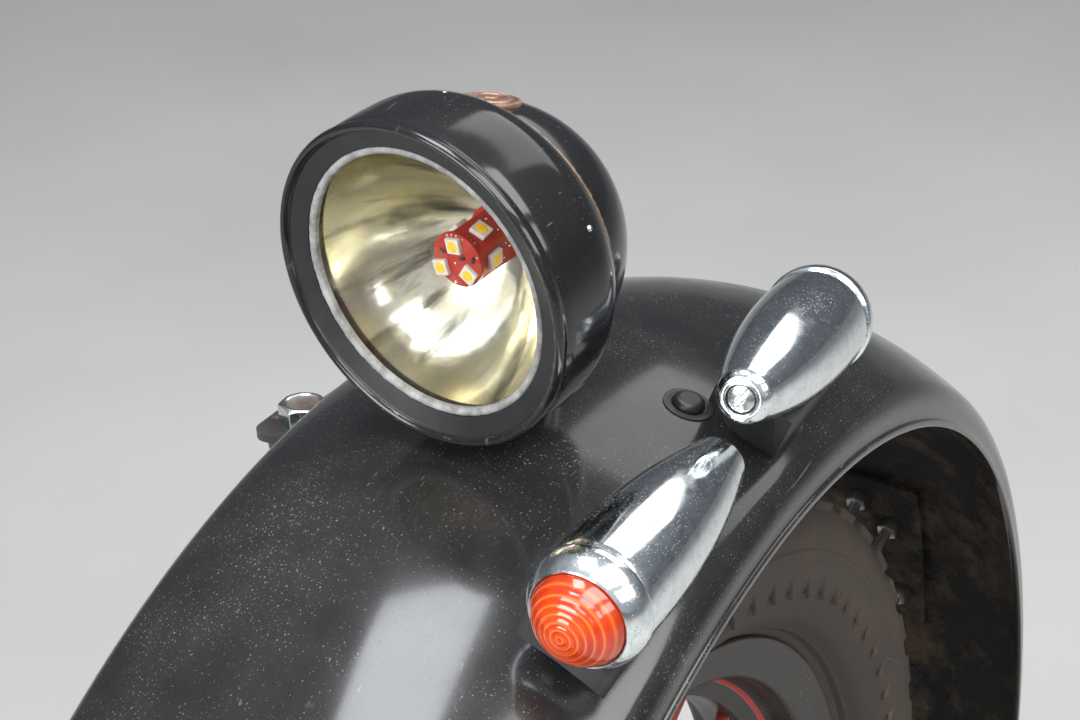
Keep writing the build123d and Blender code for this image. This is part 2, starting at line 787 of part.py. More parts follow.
def hex_bolt(face, direction, flats, head, shank, grip, nut, thread):
    """Bolt with its head on a face, its shank against the direction, a nut past the grip."""
    with BuildPart(mode=Mode.PRIVATE) as bolt:
        with BuildSketch(Plane(origin=face, z_dir=direction)):
            RegularPolygon(flats, 6, major_radius=False)
        extrude(amount=head)
        with BuildSketch(Plane(origin=face, z_dir=-direction)):
            Circle(shank)
        extrude(amount=grip + nut + thread)
        with BuildSketch(Plane(origin=face - direction * grip, z_dir=-direction)):
            RegularPolygon(flats, 6, major_radius=False)
        extrude(amount=nut)
    return bolt.part


# Bolts of the stays: one in the carrier, and one in the tab of the front and rear bridges
stay_bolt_half_flats = 6.5
stay_bolt_head = 5.5
stay_nut_thickness = 5.5
carrier_grip = carrier_thickness + stay_tab_thickness - counterbore_depth
tab_grip = stay_tab_thickness + bridge_thickness
for name, angle, half_angle, outboard_end in bridge_table:
    upper_face, inward = upper_fixing(name, angle)
    lower_hole = around_axle(stay_angles[name]) * stay_bolt_circle
    lower_head = lower_hole + Vector(0, carrier_thickness + stay_tab_thickness, 0)
    bolt_ends = [(lower_head, Vector(0, 1, 0), carrier_grip)]
    if name != "top":
        bolt_ends.append((upper_face + inward * stay_tab_thickness, inward, tab_grip))
    with BuildPart() as stay_bolts:
        for face, direction, grip in bolt_ends:
            add(
                hex_bolt(
                    face,
                    direction,
                    flats=stay_bolt_half_flats,
                    head=stay_bolt_head,
                    shank=stay_bolt_radius,
                    grip=grip,
                    nut=stay_nut_thickness,
                    thread=2.0,
                )
            )
    export(stay_bolts, name + "_stay_bolts")

# Top bolt: the hex head above the bridge's flange, the stay's foot below it
top_seat, top_inward = upper_fixing("top", bridge_table[1][1])
with BuildPart() as top_bolt:
    add(
        hex_bolt(
            top_seat - top_inward * (bridge_thickness + flange_sag),
            top_inward * -1,
            flats=top_bolt_half_flats,
            head=top_bolt_head,
            shank=top_bolt_radius,
            grip=bridge_thickness + flange_sag + stay_tab_thickness,
            nut=stay_nut_thickness,
            thread=4.0,
        )
    )
export(top_bolt, "top_bolt")

# Dome bolt in the crown, with its nut inside
with BuildPart() as dome_bolt:
    point = guard_point(dome_bolt_angle, dome_bolt_side)
    normal = guard_normal(dome_bolt_angle, dome_bolt_side)
    with BuildSketch(Plane(origin=point, z_dir=normal)):
        Circle(dome_head_radius)
    extrude(amount=dome_head_height)
    fillet(dome_bolt.edges().sort_by(Axis(point, normal))[-1], 0.8 * dome_head_height)
    with BuildSketch(Plane(origin=point, z_dir=-normal)):
        Circle(dome_bolt_radius)
    extrude(amount=guard_wall + crown_nut_thickness + 2)
    nut_face = point - normal * (guard_wall + nut_seat_gap)
    with BuildSketch(Plane(origin=nut_face, z_dir=-normal)):
        RegularPolygon(crown_nut_half_flats, 6, major_radius=False)
    extrude(amount=crown_nut_thickness)
export(dome_bolt, "dome_bolt")

# Headlamp, drawn as radius and distance forwards of its front rim
lamp_plane = section_plane(lamp_front, lamp_direction)
lamp_axis = Axis(lamp_front, lamp_direction)
dome_depth = lamp_depth - lamp_crease_depth
dome_radius = (lamp_crease_radius**2 + dome_depth**2) / (2 * dome_depth)


def dome_arc(inset):
    """Arc of the bowl's back from the crease to the axis."""
    radius = dome_radius - inset
    centre = -lamp_depth + dome_radius
    crease = sqrt(radius**2 - (lamp_crease_depth + centre) ** 2)
    middle = 0.5 * crease
    return (
        (crease, -lamp_crease_depth),
        (middle, centre - sqrt(radius**2 - middle**2)),
        (0, centre - radius),
    )


band_curve = (
    0.5 * (lamp_radius + lamp_crease_radius) + 1.6,
    -0.5 * (lamp_band_depth + lamp_crease_depth) - 0.6,
)
band_end = (lamp_radius, -lamp_band_depth)
crease = (lamp_crease_radius, -lamp_crease_depth)
with BuildPart() as lamp_block:
    with BuildSketch(lamp_plane):
        with BuildLine():
            ThreePointArc(*dome_arc(0))
            Polyline((0, -lamp_depth), (0, 0), (lamp_radius, 0), band_end)
            ThreePointArc(band_end, band_curve, crease)
        make_face()
    revolve(axis=lamp_axis)

# Shell: the bowl's back with its low foot
lamp_foot_start = lamp_foot_point + lamp_foot_normal * lamp_gasket_thickness
with BuildPart() as lamp_shell:
    with BuildSketch(lamp_plane):
        with BuildLine():
            outer = dome_arc(0)
            inner = dome_arc(lamp_wall)
            ThreePointArc(*outer)
            ThreePointArc(*inner)
            Line(outer[0], inner[0])
            Line(outer[2], inner[2])
        make_face()
    revolve(axis=lamp_axis)
    with BuildPart(mode=Mode.PRIVATE) as foot:
        with BuildSketch(Plane(origin=lamp_foot_start, z_dir=lamp_foot_normal)):
            Circle(lamp_foot_radius)
        extrude(amount=0.75 * lamp_crease_radius)
        add(lamp_block.part, mode=Mode.SUBTRACT)
    add(foot.part.solids().sort_by(SortBy.VOLUME)[-1])
    with BuildSketch(Plane(origin=lamp_foot_start, z_dir=lamp_foot_normal)):
        Circle(lamp_stud_radius)
    extrude(amount=lamp_crease_radius / 2, mode=Mode.SUBTRACT)
export(lamp_shell, "lamp_shell")

# Rim: the front band with a rounded edge and a lip that slopes in to the window
with BuildPart() as lamp_rim:
    with BuildSketch(lamp_plane):
        with BuildLine():
            front_edge = lamp_radius - 2 * lamp_wall
            Line((lamp_window_radius, -lamp_lip_depth), (front_edge, 0))
            ThreePointArc(
                (front_edge, 0),
                (lamp_radius - 0.6 * lamp_wall, -0.6 * lamp_wall),
                (lamp_radius, -2 * lamp_wall),
            )
            Line((lamp_radius, -2 * lamp_wall), band_end)
            ThreePointArc(band_end, band_curve, crease)
            inner_crease = (lamp_crease_radius - lamp_wall, -lamp_crease_depth)
            inner_curve = (band_curve[0] - lamp_wall, band_curve[1] + 0.4 * lamp_wall)
            inner_band = (lamp_radius - lamp_wall, -lamp_band_depth)
            Line(crease, inner_crease)
            ThreePointArc(inner_crease, inner_curve, inner_band)
            inner_front = lamp_lip_depth + lamp_lip_width
            Line(inner_band, (lamp_radius - lamp_wall, -inner_front))
            Line((lamp_radius - lamp_wall, -inner_front), (lamp_window_radius, -inner_front))
            Line((lamp_window_radius, -inner_front), (lamp_window_radius, -lamp_lip_depth))
        make_face()
    revolve(axis=lamp_axis)
export(lamp_rim, "lamp_rim")


def ring(inner, outer, front, back):
    """Ring about the lamp's axis, from one depth to a deeper one."""
    with BuildPart() as body:
        with BuildSketch(Plane(origin=lamp_front - lamp_direction * back, z_dir=lamp_direction)):
            Circle(outer)
            if inner > 0:
                Circle(inner, mode=Mode.SUBTRACT)
        extrude(amount=back - front)
    return body


# Seal and glass behind the rim's lip
glass_front = lamp_lip_depth + seal_thickness
glass_back = glass_front + glass_thickness
seal = ring(lamp_window_radius - seal_width, lamp_window_radius, lamp_lip_depth, glass_front)
export(seal, "lamp_seal")
glass_radius = lamp_window_radius + glass_bearing
lamp_glass = ring(0, glass_radius, glass_front, glass_back)
export(lamp_glass, "lamp_glass")

# Reflector: a bowl behind the glass, with a hole for the bulb and a flange at its mouth
reflector_back = glass_back + reflector_depth
reflector_bulge = 0.58
reflector_mouth = lamp_window_radius - 1.0
bulb_hole_radius = bulb_holder_radius + fixed_clearance


def reflector_arc(outset):
    """Arc of the reflector from its mouth to the bulb's hole."""
    mouth = reflector_mouth + outset
    middle_depth = glass_back + reflector_bulge * reflector_depth + outset
    back = (bulb_hole_radius, -reflector_back - outset)
    return (mouth, -glass_back), (0.72 * mouth, -middle_depth), back


with BuildPart() as lamp_reflector:
    with BuildSketch(lamp_plane):
        with BuildLine():
            inner = reflector_arc(0)
            outer = reflector_arc(reflector_wall)
            ThreePointArc(*inner)
            ThreePointArc(*outer)
            Line(inner[0], outer[0])
            Line(inner[2], outer[2])
        make_face()
    revolve(axis=lamp_axis)
    with BuildSketch(Plane(origin=lamp_front - lamp_direction * glass_back, z_dir=-lamp_direction)):
        Circle(lamp_radius - lamp_wall)
        Circle(reflector_mouth, mode=Mode.SUBTRACT)
    extrude(amount=reflector_wall)
export(lamp_reflector, "lamp_reflector")

# Bulb: a tower of boards on its holder
bulb_back = bulb_face_depth + bulb_length
export(ring(0, bulb_radius, bulb_face_depth, bulb_back), "lamp_bulb")
holder_back = bulb_back + bulb_holder_length
export(ring(0, bulb_holder_radius, bulb_back, holder_back), "bulb_holder")

# Gasket under the lamp's foot, cut to the crown
with BuildPart() as lamp_gasket:
    with BuildSketch(Plane(origin=lamp_foot_start, z_dir=-lamp_foot_normal)):
        Circle(lamp_gasket_radius)
        Circle(lamp_stud_radius + fixed_clearance, mode=Mode.SUBTRACT)
    extrude(amount=lamp_gasket_thickness + guard_wall + guard_wall)
    add(guard_block.part, mode=Mode.SUBTRACT)
export(lamp_gasket, "lamp_gasket")

# Stud through the foot, the gasket and the crown, with its nut inside
lamp_nut_half_flats = 6.5
lamp_nut_thickness = 6.0
with BuildPart() as lamp_stud:
    stud_reach = lamp_gasket_thickness + guard_wall + lamp_nut_thickness + lamp_stud_end_reach
    with BuildSketch(Plane(origin=lamp_foot_start, z_dir=-lamp_foot_normal)):
        Circle(lamp_stud_radius)
    extrude(amount=stud_reach)
    with BuildSketch(Plane(origin=lamp_foot_start, z_dir=lamp_foot_normal)):
        Circle(lamp_stud_radius)
    extrude(amount=lamp_stud_grip)
    nut_face = lamp_foot_point - lamp_foot_normal * (guard_wall + nut_seat_gap)
    with BuildSketch(Plane(origin=nut_face, z_dir=-lamp_foot_normal)):
        RegularPolygon(lamp_nut_half_flats, 6, major_radius=False)
    extrude(amount=lamp_nut_thickness)
export(lamp_stud, "lamp_stud")

# Badge: a medallion on the top of the bowl, its underside shaped to the bowl
lamp_up = (Vector(0, 0, 1) - lamp_direction * lamp_direction.Z).normalized()
bowl_middle = lamp_front - lamp_direction * (lamp_depth - dome_radius)
badge_lean = badge_depth - lamp_depth + dome_radius
badge_rise = sqrt(dome_radius**2 - badge_lean**2)
badge_normal = (lamp_up * badge_rise - lamp_direction * badge_lean).normalized()
with BuildPart() as lamp_badge:
    badge_root = bowl_middle + badge_normal * (dome_radius - badge_height)
    with BuildSketch(Plane(origin=badge_root, z_dir=badge_normal)):
        Circle(badge_radius)
    extrude(amount=2 * badge_height)
    add(lamp_block.part, mode=Mode.SUBTRACT)
export(lamp_badge, "lamp_badge")

# Marker lamps: casing, collar, lens, pad and fixings, each drawn as radius and distance
# forwards of the collar's front
marker_nut_thickness = 4.0
marker_shank_reach = 9.0
marker_stud_bite = 6.0
lens_seat = marker_lip + 2.0
pad_root = 6.0
pad_corner_rise = 10.0
pad_corner_run = 14.0
pad_corner_side = pad_corner_rise - marker_pad_half_width
pad_corner_length = pad_corner_run - marker_pad_half_length
lens_ball = (marker_lens_radius**2 + marker_lens_reach**2) / (2 * marker_lens_reach)
lens_half = marker_lens_radius / 2
lens_middle = (lens_half, marker_lens_reach - lens_ball + sqrt(lens_ball**2 - lens_half**2))
tail_middle = (0.89 * marker_waist_radius, -0.55 * marker_length)
for name, forward, inset, rise, yaw, pitch in marker_table:
    direction = heading(yaw, pitch)
    front = above_crown(forward, guard_half_width - inset, rise)
    marker_plane = section_plane(front, direction)
    marker_axis = Axis(front, direction)
    foot, normal, middle = marker_foot(front, direction, marker_pad_back)
    stud_foot, stud_normal, stud_middle = marker_foot(front, direction, marker_stud_back)
    axis_height = (middle - foot).length
    stud_top = (stud_middle - stud_foot).length - marker_waist_radius + marker_stud_bite
    waist = (marker_waist_radius, -marker_collar_depth)
    collar_bend = (marker_rim_radius, -0.4 * marker_collar_depth)
    tail = (marker_tail_radius, -marker_length)
    tail_bore = marker_shank_radius + fixed_clearance
    bore_end = -marker_length + marker_shank_reach + 1
    with BuildPart() as casing:
        with BuildSketch(marker_plane):
            with BuildLine():
                ThreePointArc(waist, tail_middle, tail)
                Polyline(
                    tail,
                    (tail_bore, -marker_length),
                    (tail_bore, bore_end),
                    (0, bore_end),
                    (0, -marker_bore_depth),
                    (marker_bore_radius, -marker_bore_depth),
                    (marker_bore_radius, -marker_collar_depth),
                    waist,
                )
            make_face()
        revolve(axis=marker_axis)
        with BuildSketch(Plane(origin=stud_foot, z_dir=stud_normal)):
            Circle(marker_stud_radius)
        extrude(amount=stud_top, mode=Mode.SUBTRACT)
    export(casing, name + "_casing")

    with BuildPart() as collar:
        with BuildSketch(marker_plane):
            with BuildLine():
                Polyline(
                    (marker_lens_radius + fixed_clearance, 0),
                    (marker_rim_radius - 1, 0),
                    (marker_rim_radius, -1),
                    collar_bend,
                    waist,
                    (marker_bore_radius, -marker_collar_depth),
                    (marker_bore_radius, -marker_lip),
                    (marker_lens_radius + fixed_clearance, -marker_lip),
                    close=True,
                )
            make_face()
        revolve(axis=marker_axis)
    export(collar, name + "_collar")

    with BuildPart() as lens:
        with BuildSketch(marker_plane):
            with BuildLine():
                lens_edge = (marker_lens_radius, 0)
                ThreePointArc(lens_edge, lens_middle, (0, marker_lens_reach))
                Polyline(
                    (0, marker_lens_reach),
                    (0, -lens_seat),
                    (marker_bore_radius, -lens_seat),
                    (marker_bore_radius, -marker_lip),
                    (marker_lens_radius, -marker_lip),
                    lens_edge,
                )
            make_face()
        revolve(axis=marker_axis)
    export(lens, name + "_lens")

    with BuildPart() as pad:
        along = (direction - normal * direction.dot(normal)).normalized()
        pad_height = axis_height - 0.4 * marker_waist_radius
        with BuildSketch(Plane(origin=foot + normal * pad_height, x_dir=along, z_dir=-normal)):
            Polygon(
                (marker_pad_half_length, marker_pad_half_width),
                (-marker_pad_half_length, marker_pad_half_width),
                (-marker_pad_half_length, pad_corner_side),
                (pad_corner_length, -marker_pad_half_width),
                (marker_pad_half_length, -marker_pad_half_width),
                align=None,
            )
        extrude(amount=pad_height + pad_root)
        add(guard_block.part, mode=Mode.SUBTRACT)
        with BuildSketch(Plane(origin=stud_foot - stud_normal * pad_root, z_dir=stud_normal)):
            Circle(marker_stud_radius + fixed_clearance)
        extrude(amount=pad_root + stud_top, mode=Mode.SUBTRACT)
        with BuildSketch(marker_plane):
            with BuildLine():
                ThreePointArc(waist, tail_middle, tail)
                rim_edge = (marker_rim_radius, 0)
                Polyline(tail, (0, -marker_length), (0, 0), rim_edge, collar_bend, waist)
            make_face()
        revolve(axis=marker_axis, mode=Mode.SUBTRACT)
    export(pad, name + "_pad")

    with BuildPart() as fixings:
        nut_face = stud_foot - stud_normal * (guard_wall + nut_seat_gap)
        with BuildSketch(Plane(origin=stud_foot + stud_normal * stud_top, z_dir=-stud_normal)):
            Circle(marker_stud_radius)
        extrude(amount=stud_top + guard_wall + marker_nut_thickness + 2)
        with BuildSketch(Plane(origin=nut_face, z_dir=-stud_normal)):
            RegularPolygon(crown_nut_half_flats, 6, major_radius=False)
        extrude(amount=marker_nut_thickness)
        tail_end = front - direction * marker_length
        with BuildSketch(Plane(origin=tail_end, z_dir=direction)):
            Circle(marker_shank_radius)
        extrude(amount=marker_shank_reach)
        with BuildSketch(Plane(origin=tail_end, z_dir=-direction)):
            Circle(marker_screw_radius)
        extrude(amount=marker_screw_head)
    export(fixings, name + "_fixings")
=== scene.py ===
from math import atan2, cos, degrees, hypot, pi, radians, sin, sqrt, tau

import bmesh
import bpy
from bpy.props import FloatProperty, FloatVectorProperty, IntProperty, PointerProperty
from mathutils import Matrix, Vector


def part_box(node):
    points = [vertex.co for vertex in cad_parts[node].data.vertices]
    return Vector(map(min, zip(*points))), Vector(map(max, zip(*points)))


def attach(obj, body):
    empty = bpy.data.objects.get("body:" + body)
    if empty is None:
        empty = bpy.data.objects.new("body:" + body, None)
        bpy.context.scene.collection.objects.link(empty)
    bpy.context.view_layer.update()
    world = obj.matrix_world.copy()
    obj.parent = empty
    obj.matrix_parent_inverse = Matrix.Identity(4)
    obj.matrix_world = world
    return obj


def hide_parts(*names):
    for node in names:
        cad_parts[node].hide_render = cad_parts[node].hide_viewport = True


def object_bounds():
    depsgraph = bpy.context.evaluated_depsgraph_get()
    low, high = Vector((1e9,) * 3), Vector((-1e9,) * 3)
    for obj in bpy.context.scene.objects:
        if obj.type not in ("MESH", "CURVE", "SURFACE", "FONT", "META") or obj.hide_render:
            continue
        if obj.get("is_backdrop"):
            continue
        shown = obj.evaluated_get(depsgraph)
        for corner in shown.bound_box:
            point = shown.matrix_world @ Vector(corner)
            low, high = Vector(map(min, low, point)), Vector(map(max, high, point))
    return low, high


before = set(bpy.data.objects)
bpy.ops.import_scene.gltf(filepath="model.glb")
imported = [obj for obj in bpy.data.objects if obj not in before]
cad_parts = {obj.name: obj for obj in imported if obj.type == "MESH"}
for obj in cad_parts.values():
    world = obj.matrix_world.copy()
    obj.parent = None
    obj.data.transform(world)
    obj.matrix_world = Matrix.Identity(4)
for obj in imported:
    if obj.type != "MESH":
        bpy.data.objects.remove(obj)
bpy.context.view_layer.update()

bl_info = {
    "name": "Sidecar wheel with mudguard and lamps",
    "version": (1, 0, 0),
    "blender": (4, 5, 0),
    "location": "View3D > Sidebar > Sidecar",
    "description": "Builds the wheel, mudguard and lamps of a sidecar round its solid parts",
    "category": "Add Mesh",
}

# Everything is drawn in millimetres and scaled to metres when a piece is placed
MM = 0.001
WHEEL_CENTRE = Vector((0, 110, 0))
GUARD_CENTRE = Vector((-18.5, 112.5, 18.2))

# The mudguard's section: radius of each shoulder and height of the straight flank under it
SHOULDER = 11.0
FLANK = 3.0

# Radius of the headlamp's bowl, and its middle behind the front of the lamp
BOWL_RADIUS = 40.18
BOWL_MIDDLE = -28.02

# Where a pad's foot is drawn out, or in if the share is negative: past a front angle in degrees with its
# share, and past a line across the mudguard in mm with its share
PAD_FITS = {"front_marker": (74.0, 0.42, 50.0, 0.35), "rear_marker": (93.0, -0.35, 66.0, -0.5)}
PAD_MIDDLE = 58
PAD_HEIGHT = 11


def heading(yaw, pitch):
    """Unit vector turned by yaw from +X and raised by pitch, in degrees."""
    level = cos(radians(pitch))
    return Vector((cos(radians(yaw)) * level, sin(radians(yaw)) * level, sin(radians(pitch))))


LAMP_FRONT = WHEEL_CENTRE + Vector((43.3, -7.4, 376.5))
LAMP_DIRECTION = heading(-8.3, -6.1)
MARKERS = (
    ("front_marker", WHEEL_CENTRE + Vector((90.0, 64.6, 323.0)), heading(-0.5, -2.0)),
    ("rear_marker", WHEEL_CENTRE + Vector((-76.0, 62.0, 334.0)), heading(186.0, -8.0)),
)


# Sizes and colours that a user would change


def size_of(label, description, default):
    """A size in mm."""
    return FloatProperty(name=label, description=description + ", in mm", default=default)


def angle_of(label, description, default):
    """An angle, given in degrees."""
    return FloatProperty(name=label, description=description, default=radians(default), unit="ROTATION")


def colour_of(label, description, default):
    """A colour."""
    return FloatVectorProperty(name=label, description=description, subtype="COLOR", default=default)


class GuardSettings(bpy.types.PropertyGroup):
    """Sizes of the mudguard."""

    edge_radius: size_of("Edge radius", "Radius of the mudguard's edge", 280.5)
    half_width: size_of("Half width", "Half the width across the flanks", 75.5)
    crown_height: size_of("Crown height", "Height of the crown over the edge", 31.0)
    wall: size_of("Wall", "Thickness of the sheet", 1.5)
    hem: size_of("Hem", "Width of the folded edge", 2.6)
    front_angle: angle_of("Front end", "Angle of the front end", 9)
    rear_angle: angle_of("Rear end", "Angle of the rear end", 193)


class LampSettings(bpy.types.PropertyGroup):
    """Sizes of the headlamp and of the marker lamps."""

    radius: size_of("Rim radius", "Radius of the headlamp's rim", 47.2)
    window: size_of("Window radius", "Radius of the glass that shows", 39.3)
    marker_radius: size_of("Marker radius", "Largest radius of a marker lamp", 16.6)
    marker_length: size_of("Marker length", "Length of a marker lamp", 84.0)
    lens_steps: IntProperty(name="Lens steps", description="Rings in a marker's lens", default=7, min=3)


class TyreSettings(bpy.types.PropertyGroup):
    """Sizes of the tyre's tread."""

    blocks: IntProperty(name="Blocks", description="Tread blocks in one row round the tyre", default=56)
    block_height: size_of("Block height", "Depth of the tread", 5.0)


class FinishSettings(bpy.types.PropertyGroup):
    """Colours of the finishes."""

    paint: colour_of("Paint", "Gloss paint of the mudguard and headlamp", (0.006, 0.006, 0.007))
    dust: colour_of("Dust", "Road dust on the paint", (0.42, 0.40, 0.36))
    mud: colour_of("Mud", "Dried mud inside the mudguard", (0.15, 0.105, 0.07))
    rubber: colour_of("Tyre", "Rubber of the tyre", (0.030, 0.026, 0.024))
    amber: colour_of("Amber", "Lenses of the marker lamps", (0.72, 0.060, 0.002))
    board: colour_of("Board", "Circuit boards of the bulb", (0.33, 0.016, 0.008))


# Shader building


def sum_node(operation):
    """A sum that a value can do, as a math node."""
    return lambda self, other: self.math(operation, other)


class Value:
    """One output of a shader node; sums and comparisons on it make math nodes."""

    def __init__(self, graph, socket):
        self.graph, self.socket = graph, socket

    def math(self, operation, *others, clamp=False):
        """A math node that takes this value first."""
        settings = {"operation": operation, "use_clamp": clamp}
        return self.graph.node("Math", self, *others, settings=settings)["Value"]

    __add__, __sub__, __mul__ = sum_node("ADD"), sum_node("SUBTRACT"), sum_node("MULTIPLY")
    __truediv__, __pow__ = sum_node("DIVIDE"), sum_node("POWER")
    __lt__, __gt__ = sum_node("LESS_THAN"), sum_node("GREATER_THAN")
    most = sum_node("MAXIMUM")

    def rest(self):
        """What is left of one when this value is taken off."""
        return self * -1.0 + 1.0

    def clamped(self):
        """The same value kept between 0 and 1."""
        return self.math("ADD", 0.0, clamp=True)

    def ramp(self, *stops):
        """Shades along the value: each stop is a place with a grey or a colour."""
        node = self.graph.tree.nodes.new("ShaderNodeValToRGB")
        elements = node.color_ramp.elements
        while len(elements) < len(stops):
            elements.new(0.5)
        for element, (place, shade) in zip(elements, stops):
            element.position = place
            element.color = (*shade, 1) if isinstance(shade, tuple) else (shade, shade, shade, 1)
        self.graph.fill(node.inputs["Fac"], self)
        return Value(self.graph, node.outputs["Color"])

    def rise(self, low, high):
        """Grows from 0 to 1 between two places."""
        return self.ramp((low, 0.0), (high, 1.0))


class Graph:
    """A node tree that is written down as sums on values."""

    def __init__(self, tree):
        self.tree = tree

    def fill(self, socket, value):
        """Links a value to a socket, or sets a number, a vector or a colour on it."""
        if isinstance(value, Value):
            self.tree.links.new(value.socket, socket)
        else:
            socket.default_value = (*value, 1) if socket.type == "RGBA" else value

    def outputs(self, node):
        """A node's outputs by name."""
        return {socket.name: Value(self, socket) for socket in node.outputs if socket.enabled}

    def node(self, kind, *values, settings=None, **named):
        """Adds a shader node, fills its sockets in order or by name and gives its outputs."""
        node = self.tree.nodes.new("ShaderNode" + kind)
        for key, value in (settings or {}).items():
            setattr(node, key, value)
        for socket, value in zip([socket for socket in node.inputs if socket.enabled], values):
            self.fill(socket, value)
        for key, value in named.items():
            self.fill(node.inputs[key.replace("_", " ")], value)
        return self.outputs(node)

    def place(self, **mapping):
        """Object coordinates, through a mapping where one is given."""
        spot = self.node("TexCoord")["Object"]
        return self.node("Mapping", Vector=spot, **mapping)["Vector"] if mapping else spot

    def noise(self, scale, detail, roughness=0.55, distortion=0.0, place=None):
        """A soft noise."""
        spot = {"Vector": place or self.place(), "Scale": scale, "Detail": detail}
        return self.node("TexNoise", Roughness=roughness, Distortion=distortion, **spot)["Fac"]

    def cells(self, scale, **settings):
        """Cells of random size: their shade and the distance from their middles."""
        return self.node("TexVoronoi", Vector=self.place(), Scale=scale, settings=settings)

    def mix(self, share, first, second):
        """Two colours mixed by a share."""
        return self.node("Mix", share, first, second, settings={"data_type": "RGBA"})["Result"]

    def group(self, fill, **values):
        """Places the shader group that a function fills, making it the first time."""
        name = fill.__name__.replace("_", " ").capitalize()
        tree = bpy.data.node_groups.get(name) or shader_group(name, fill, values)
        return self.node("Group", settings={"node_tree": tree}, **values)


def shader_group(name, fill, inputs):
    """A node group with named sockets, for its inputs and for what the function gives back."""
    tree = bpy.data.node_groups.new(name, "ShaderNodeTree")
    graph = Graph(tree)

    def add_sockets(labels, way):
        for label in labels:
            label = label.replace("_", " ")
            tree.interface.new_socket(name=label, in_out=way, socket_type="NodeSocketFloat")

    add_sockets(inputs, "INPUT")
    results = fill(graph, graph.outputs(tree.nodes.new("NodeGroupInput")))
    add_sockets(results, "OUTPUT")
    leave = tree.nodes.new("NodeGroupOutput")
    for label, value in results.items():
        graph.fill(leave.inputs[label], value)
    return tree


def dust(graph, given):
    """Fine specks, thicker in soft patches, and a thin film."""
    patches = graph.noise(22.0, 5.0, 0.65)
    wide = patches**1.6 * given["Speck size"]
    specks = []
    for share in (1.0, 1.6):
        cells = graph.cells(given["Speck scale"] * share)
        inside = cells["Distance"] < wide * cells["Color"]
        specks.append(inside * cells["Color"])
    return {"Specks": specks[0].most(specks[1]), "Film": (patches**2.0 * given["Film"]).clamped()}


def worn_patches(graph, given):
    """Bare or chipped places: noise patches over a threshold."""
    over = graph.noise(given["Scale"], 8.0, 0.6) - given["Amount"].rest()
    return {"Mask": (over * given["Sharpness"]).clamped()}


def edge_wear(graph, given):
    """Worn edges from the shape's own pointedness."""
    broken = (graph.noise(320.0, 6.0, 0.7) - 0.5) * 0.10
    return {"Mask": ((given["Pointiness"] + broken - given["Start"]) * 22.0).clamped()}


def grain(graph, given):
    """A fine even grain for bump and roughness."""
    fine = graph.noise(given["Scale"], 3.0, 0.6)
    coarse = graph.noise(given["Scale"] * 0.13, 4.0, 0.6)
    return {"Height": fine * 0.5 + coarse * 0.5}


def scratches(graph, given):
    """Thin short scratches in two directions."""
    lines = []
    for turn in ((0.3, 0.2, 0.5), (1.1, 0.7, -0.4)):
        place = graph.place(Scale=(22, 700, 700), Rotation=turn)
        lines.append(graph.noise(1.0, 2.0, 0.5, 0.4, place) > given["Threshold"])
    return {"Mask": lines[0].most(lines[1])}


class Finish(Graph):
    """A material under construction, whose colour is laid on in layers."""

    def __init__(self, name, colour=None, **constants):
        self.material = bpy.data.materials.new(name)
        self.material.use_nodes = True
        super().__init__(self.material.node_tree)
        self.shader = self.tree.nodes["Principled BSDF"]
        self.colour, self.relief = colour, {}
        self.feed(**constants)

    def feed(self, **values):
        """Sets or links the shader's named sockets."""
        for key, value in values.items():
            self.fill(self.shader.inputs[key.replace("_", " ")], value)

    def cover(self, share, colour):
        """Lays another colour over the colour so far."""
        self.colour = self.mix(share, self.colour, colour)

    def bump(self, height, strength, distance):
        """Adds relief from a height; distance in metres."""
        made = self.node("Bump", Strength=strength, Distance=distance, Height=height, **self.relief)
        self.relief = {"Normal": made["Normal"]}
        self.feed(**self.relief)

    def scratches(self, threshold):
        """Hair scratches, fewer with a higher threshold."""
        return self.group(scratches, Threshold=threshold)["Mask"]

    def edges(self, start):
        """Worn edges, from where the surface is more pointed than the start."""
        pointed = self.node("NewGeometry")["Pointiness"]
        return self.group(edge_wear, Pointiness=pointed, Start=start)["Mask"]

    def done(self, roughness):
        """Feeds the colour and the roughness and hands over the material."""
        self.feed(Base_Color=self.colour, Roughness=roughness)
        return self.material


def gloss_paint(name, colours, haze, speck, edge_start):
    """Old gloss paint: dust specks, a cloudy film, fine scratches and worn edges."""
    coat = 0.35
    made = Finish(name, colours.paint, Coat_Weight=coat, Specular_IOR_Level=0.35, Coat_Roughness=0.09)
    dirt = made.group(dust, Speck_scale=820.0, Speck_size=speck, Film=haze)
    edges = made.edges(edge_start)
    made.cover(dirt["Film"] * 0.09, colours.dust)
    made.cover(made.noise(55.0, 6.0, 0.72).rise(0.66, 0.76) * (0.10 * haze), colours.dust)
    made.cover(dirt["Specks"] * 0.30, colours.dust)
    made.cover(made.scratches(0.76) * 0.15, (0.35, 0.34, 0.32))
    made.cover(edges, (0.30, 0.20, 0.13))
    made.feed(Coat_Weight=dirt["Specks"].most(edges).rest() * coat)
    made.bump(made.noise(45.0, 2.0, 0.4), 0.04, 0.002)
    made.bump(dirt["Specks"], 0.25, 0.0001)
    cloud = made.noise(14.0, 6.0, 0.62).rise(0.35, 0.75)
    return made.done((cloud * 0.16 + 0.10 + dirt["Specks"] * 0.3 + edges * 0.25).clamped())


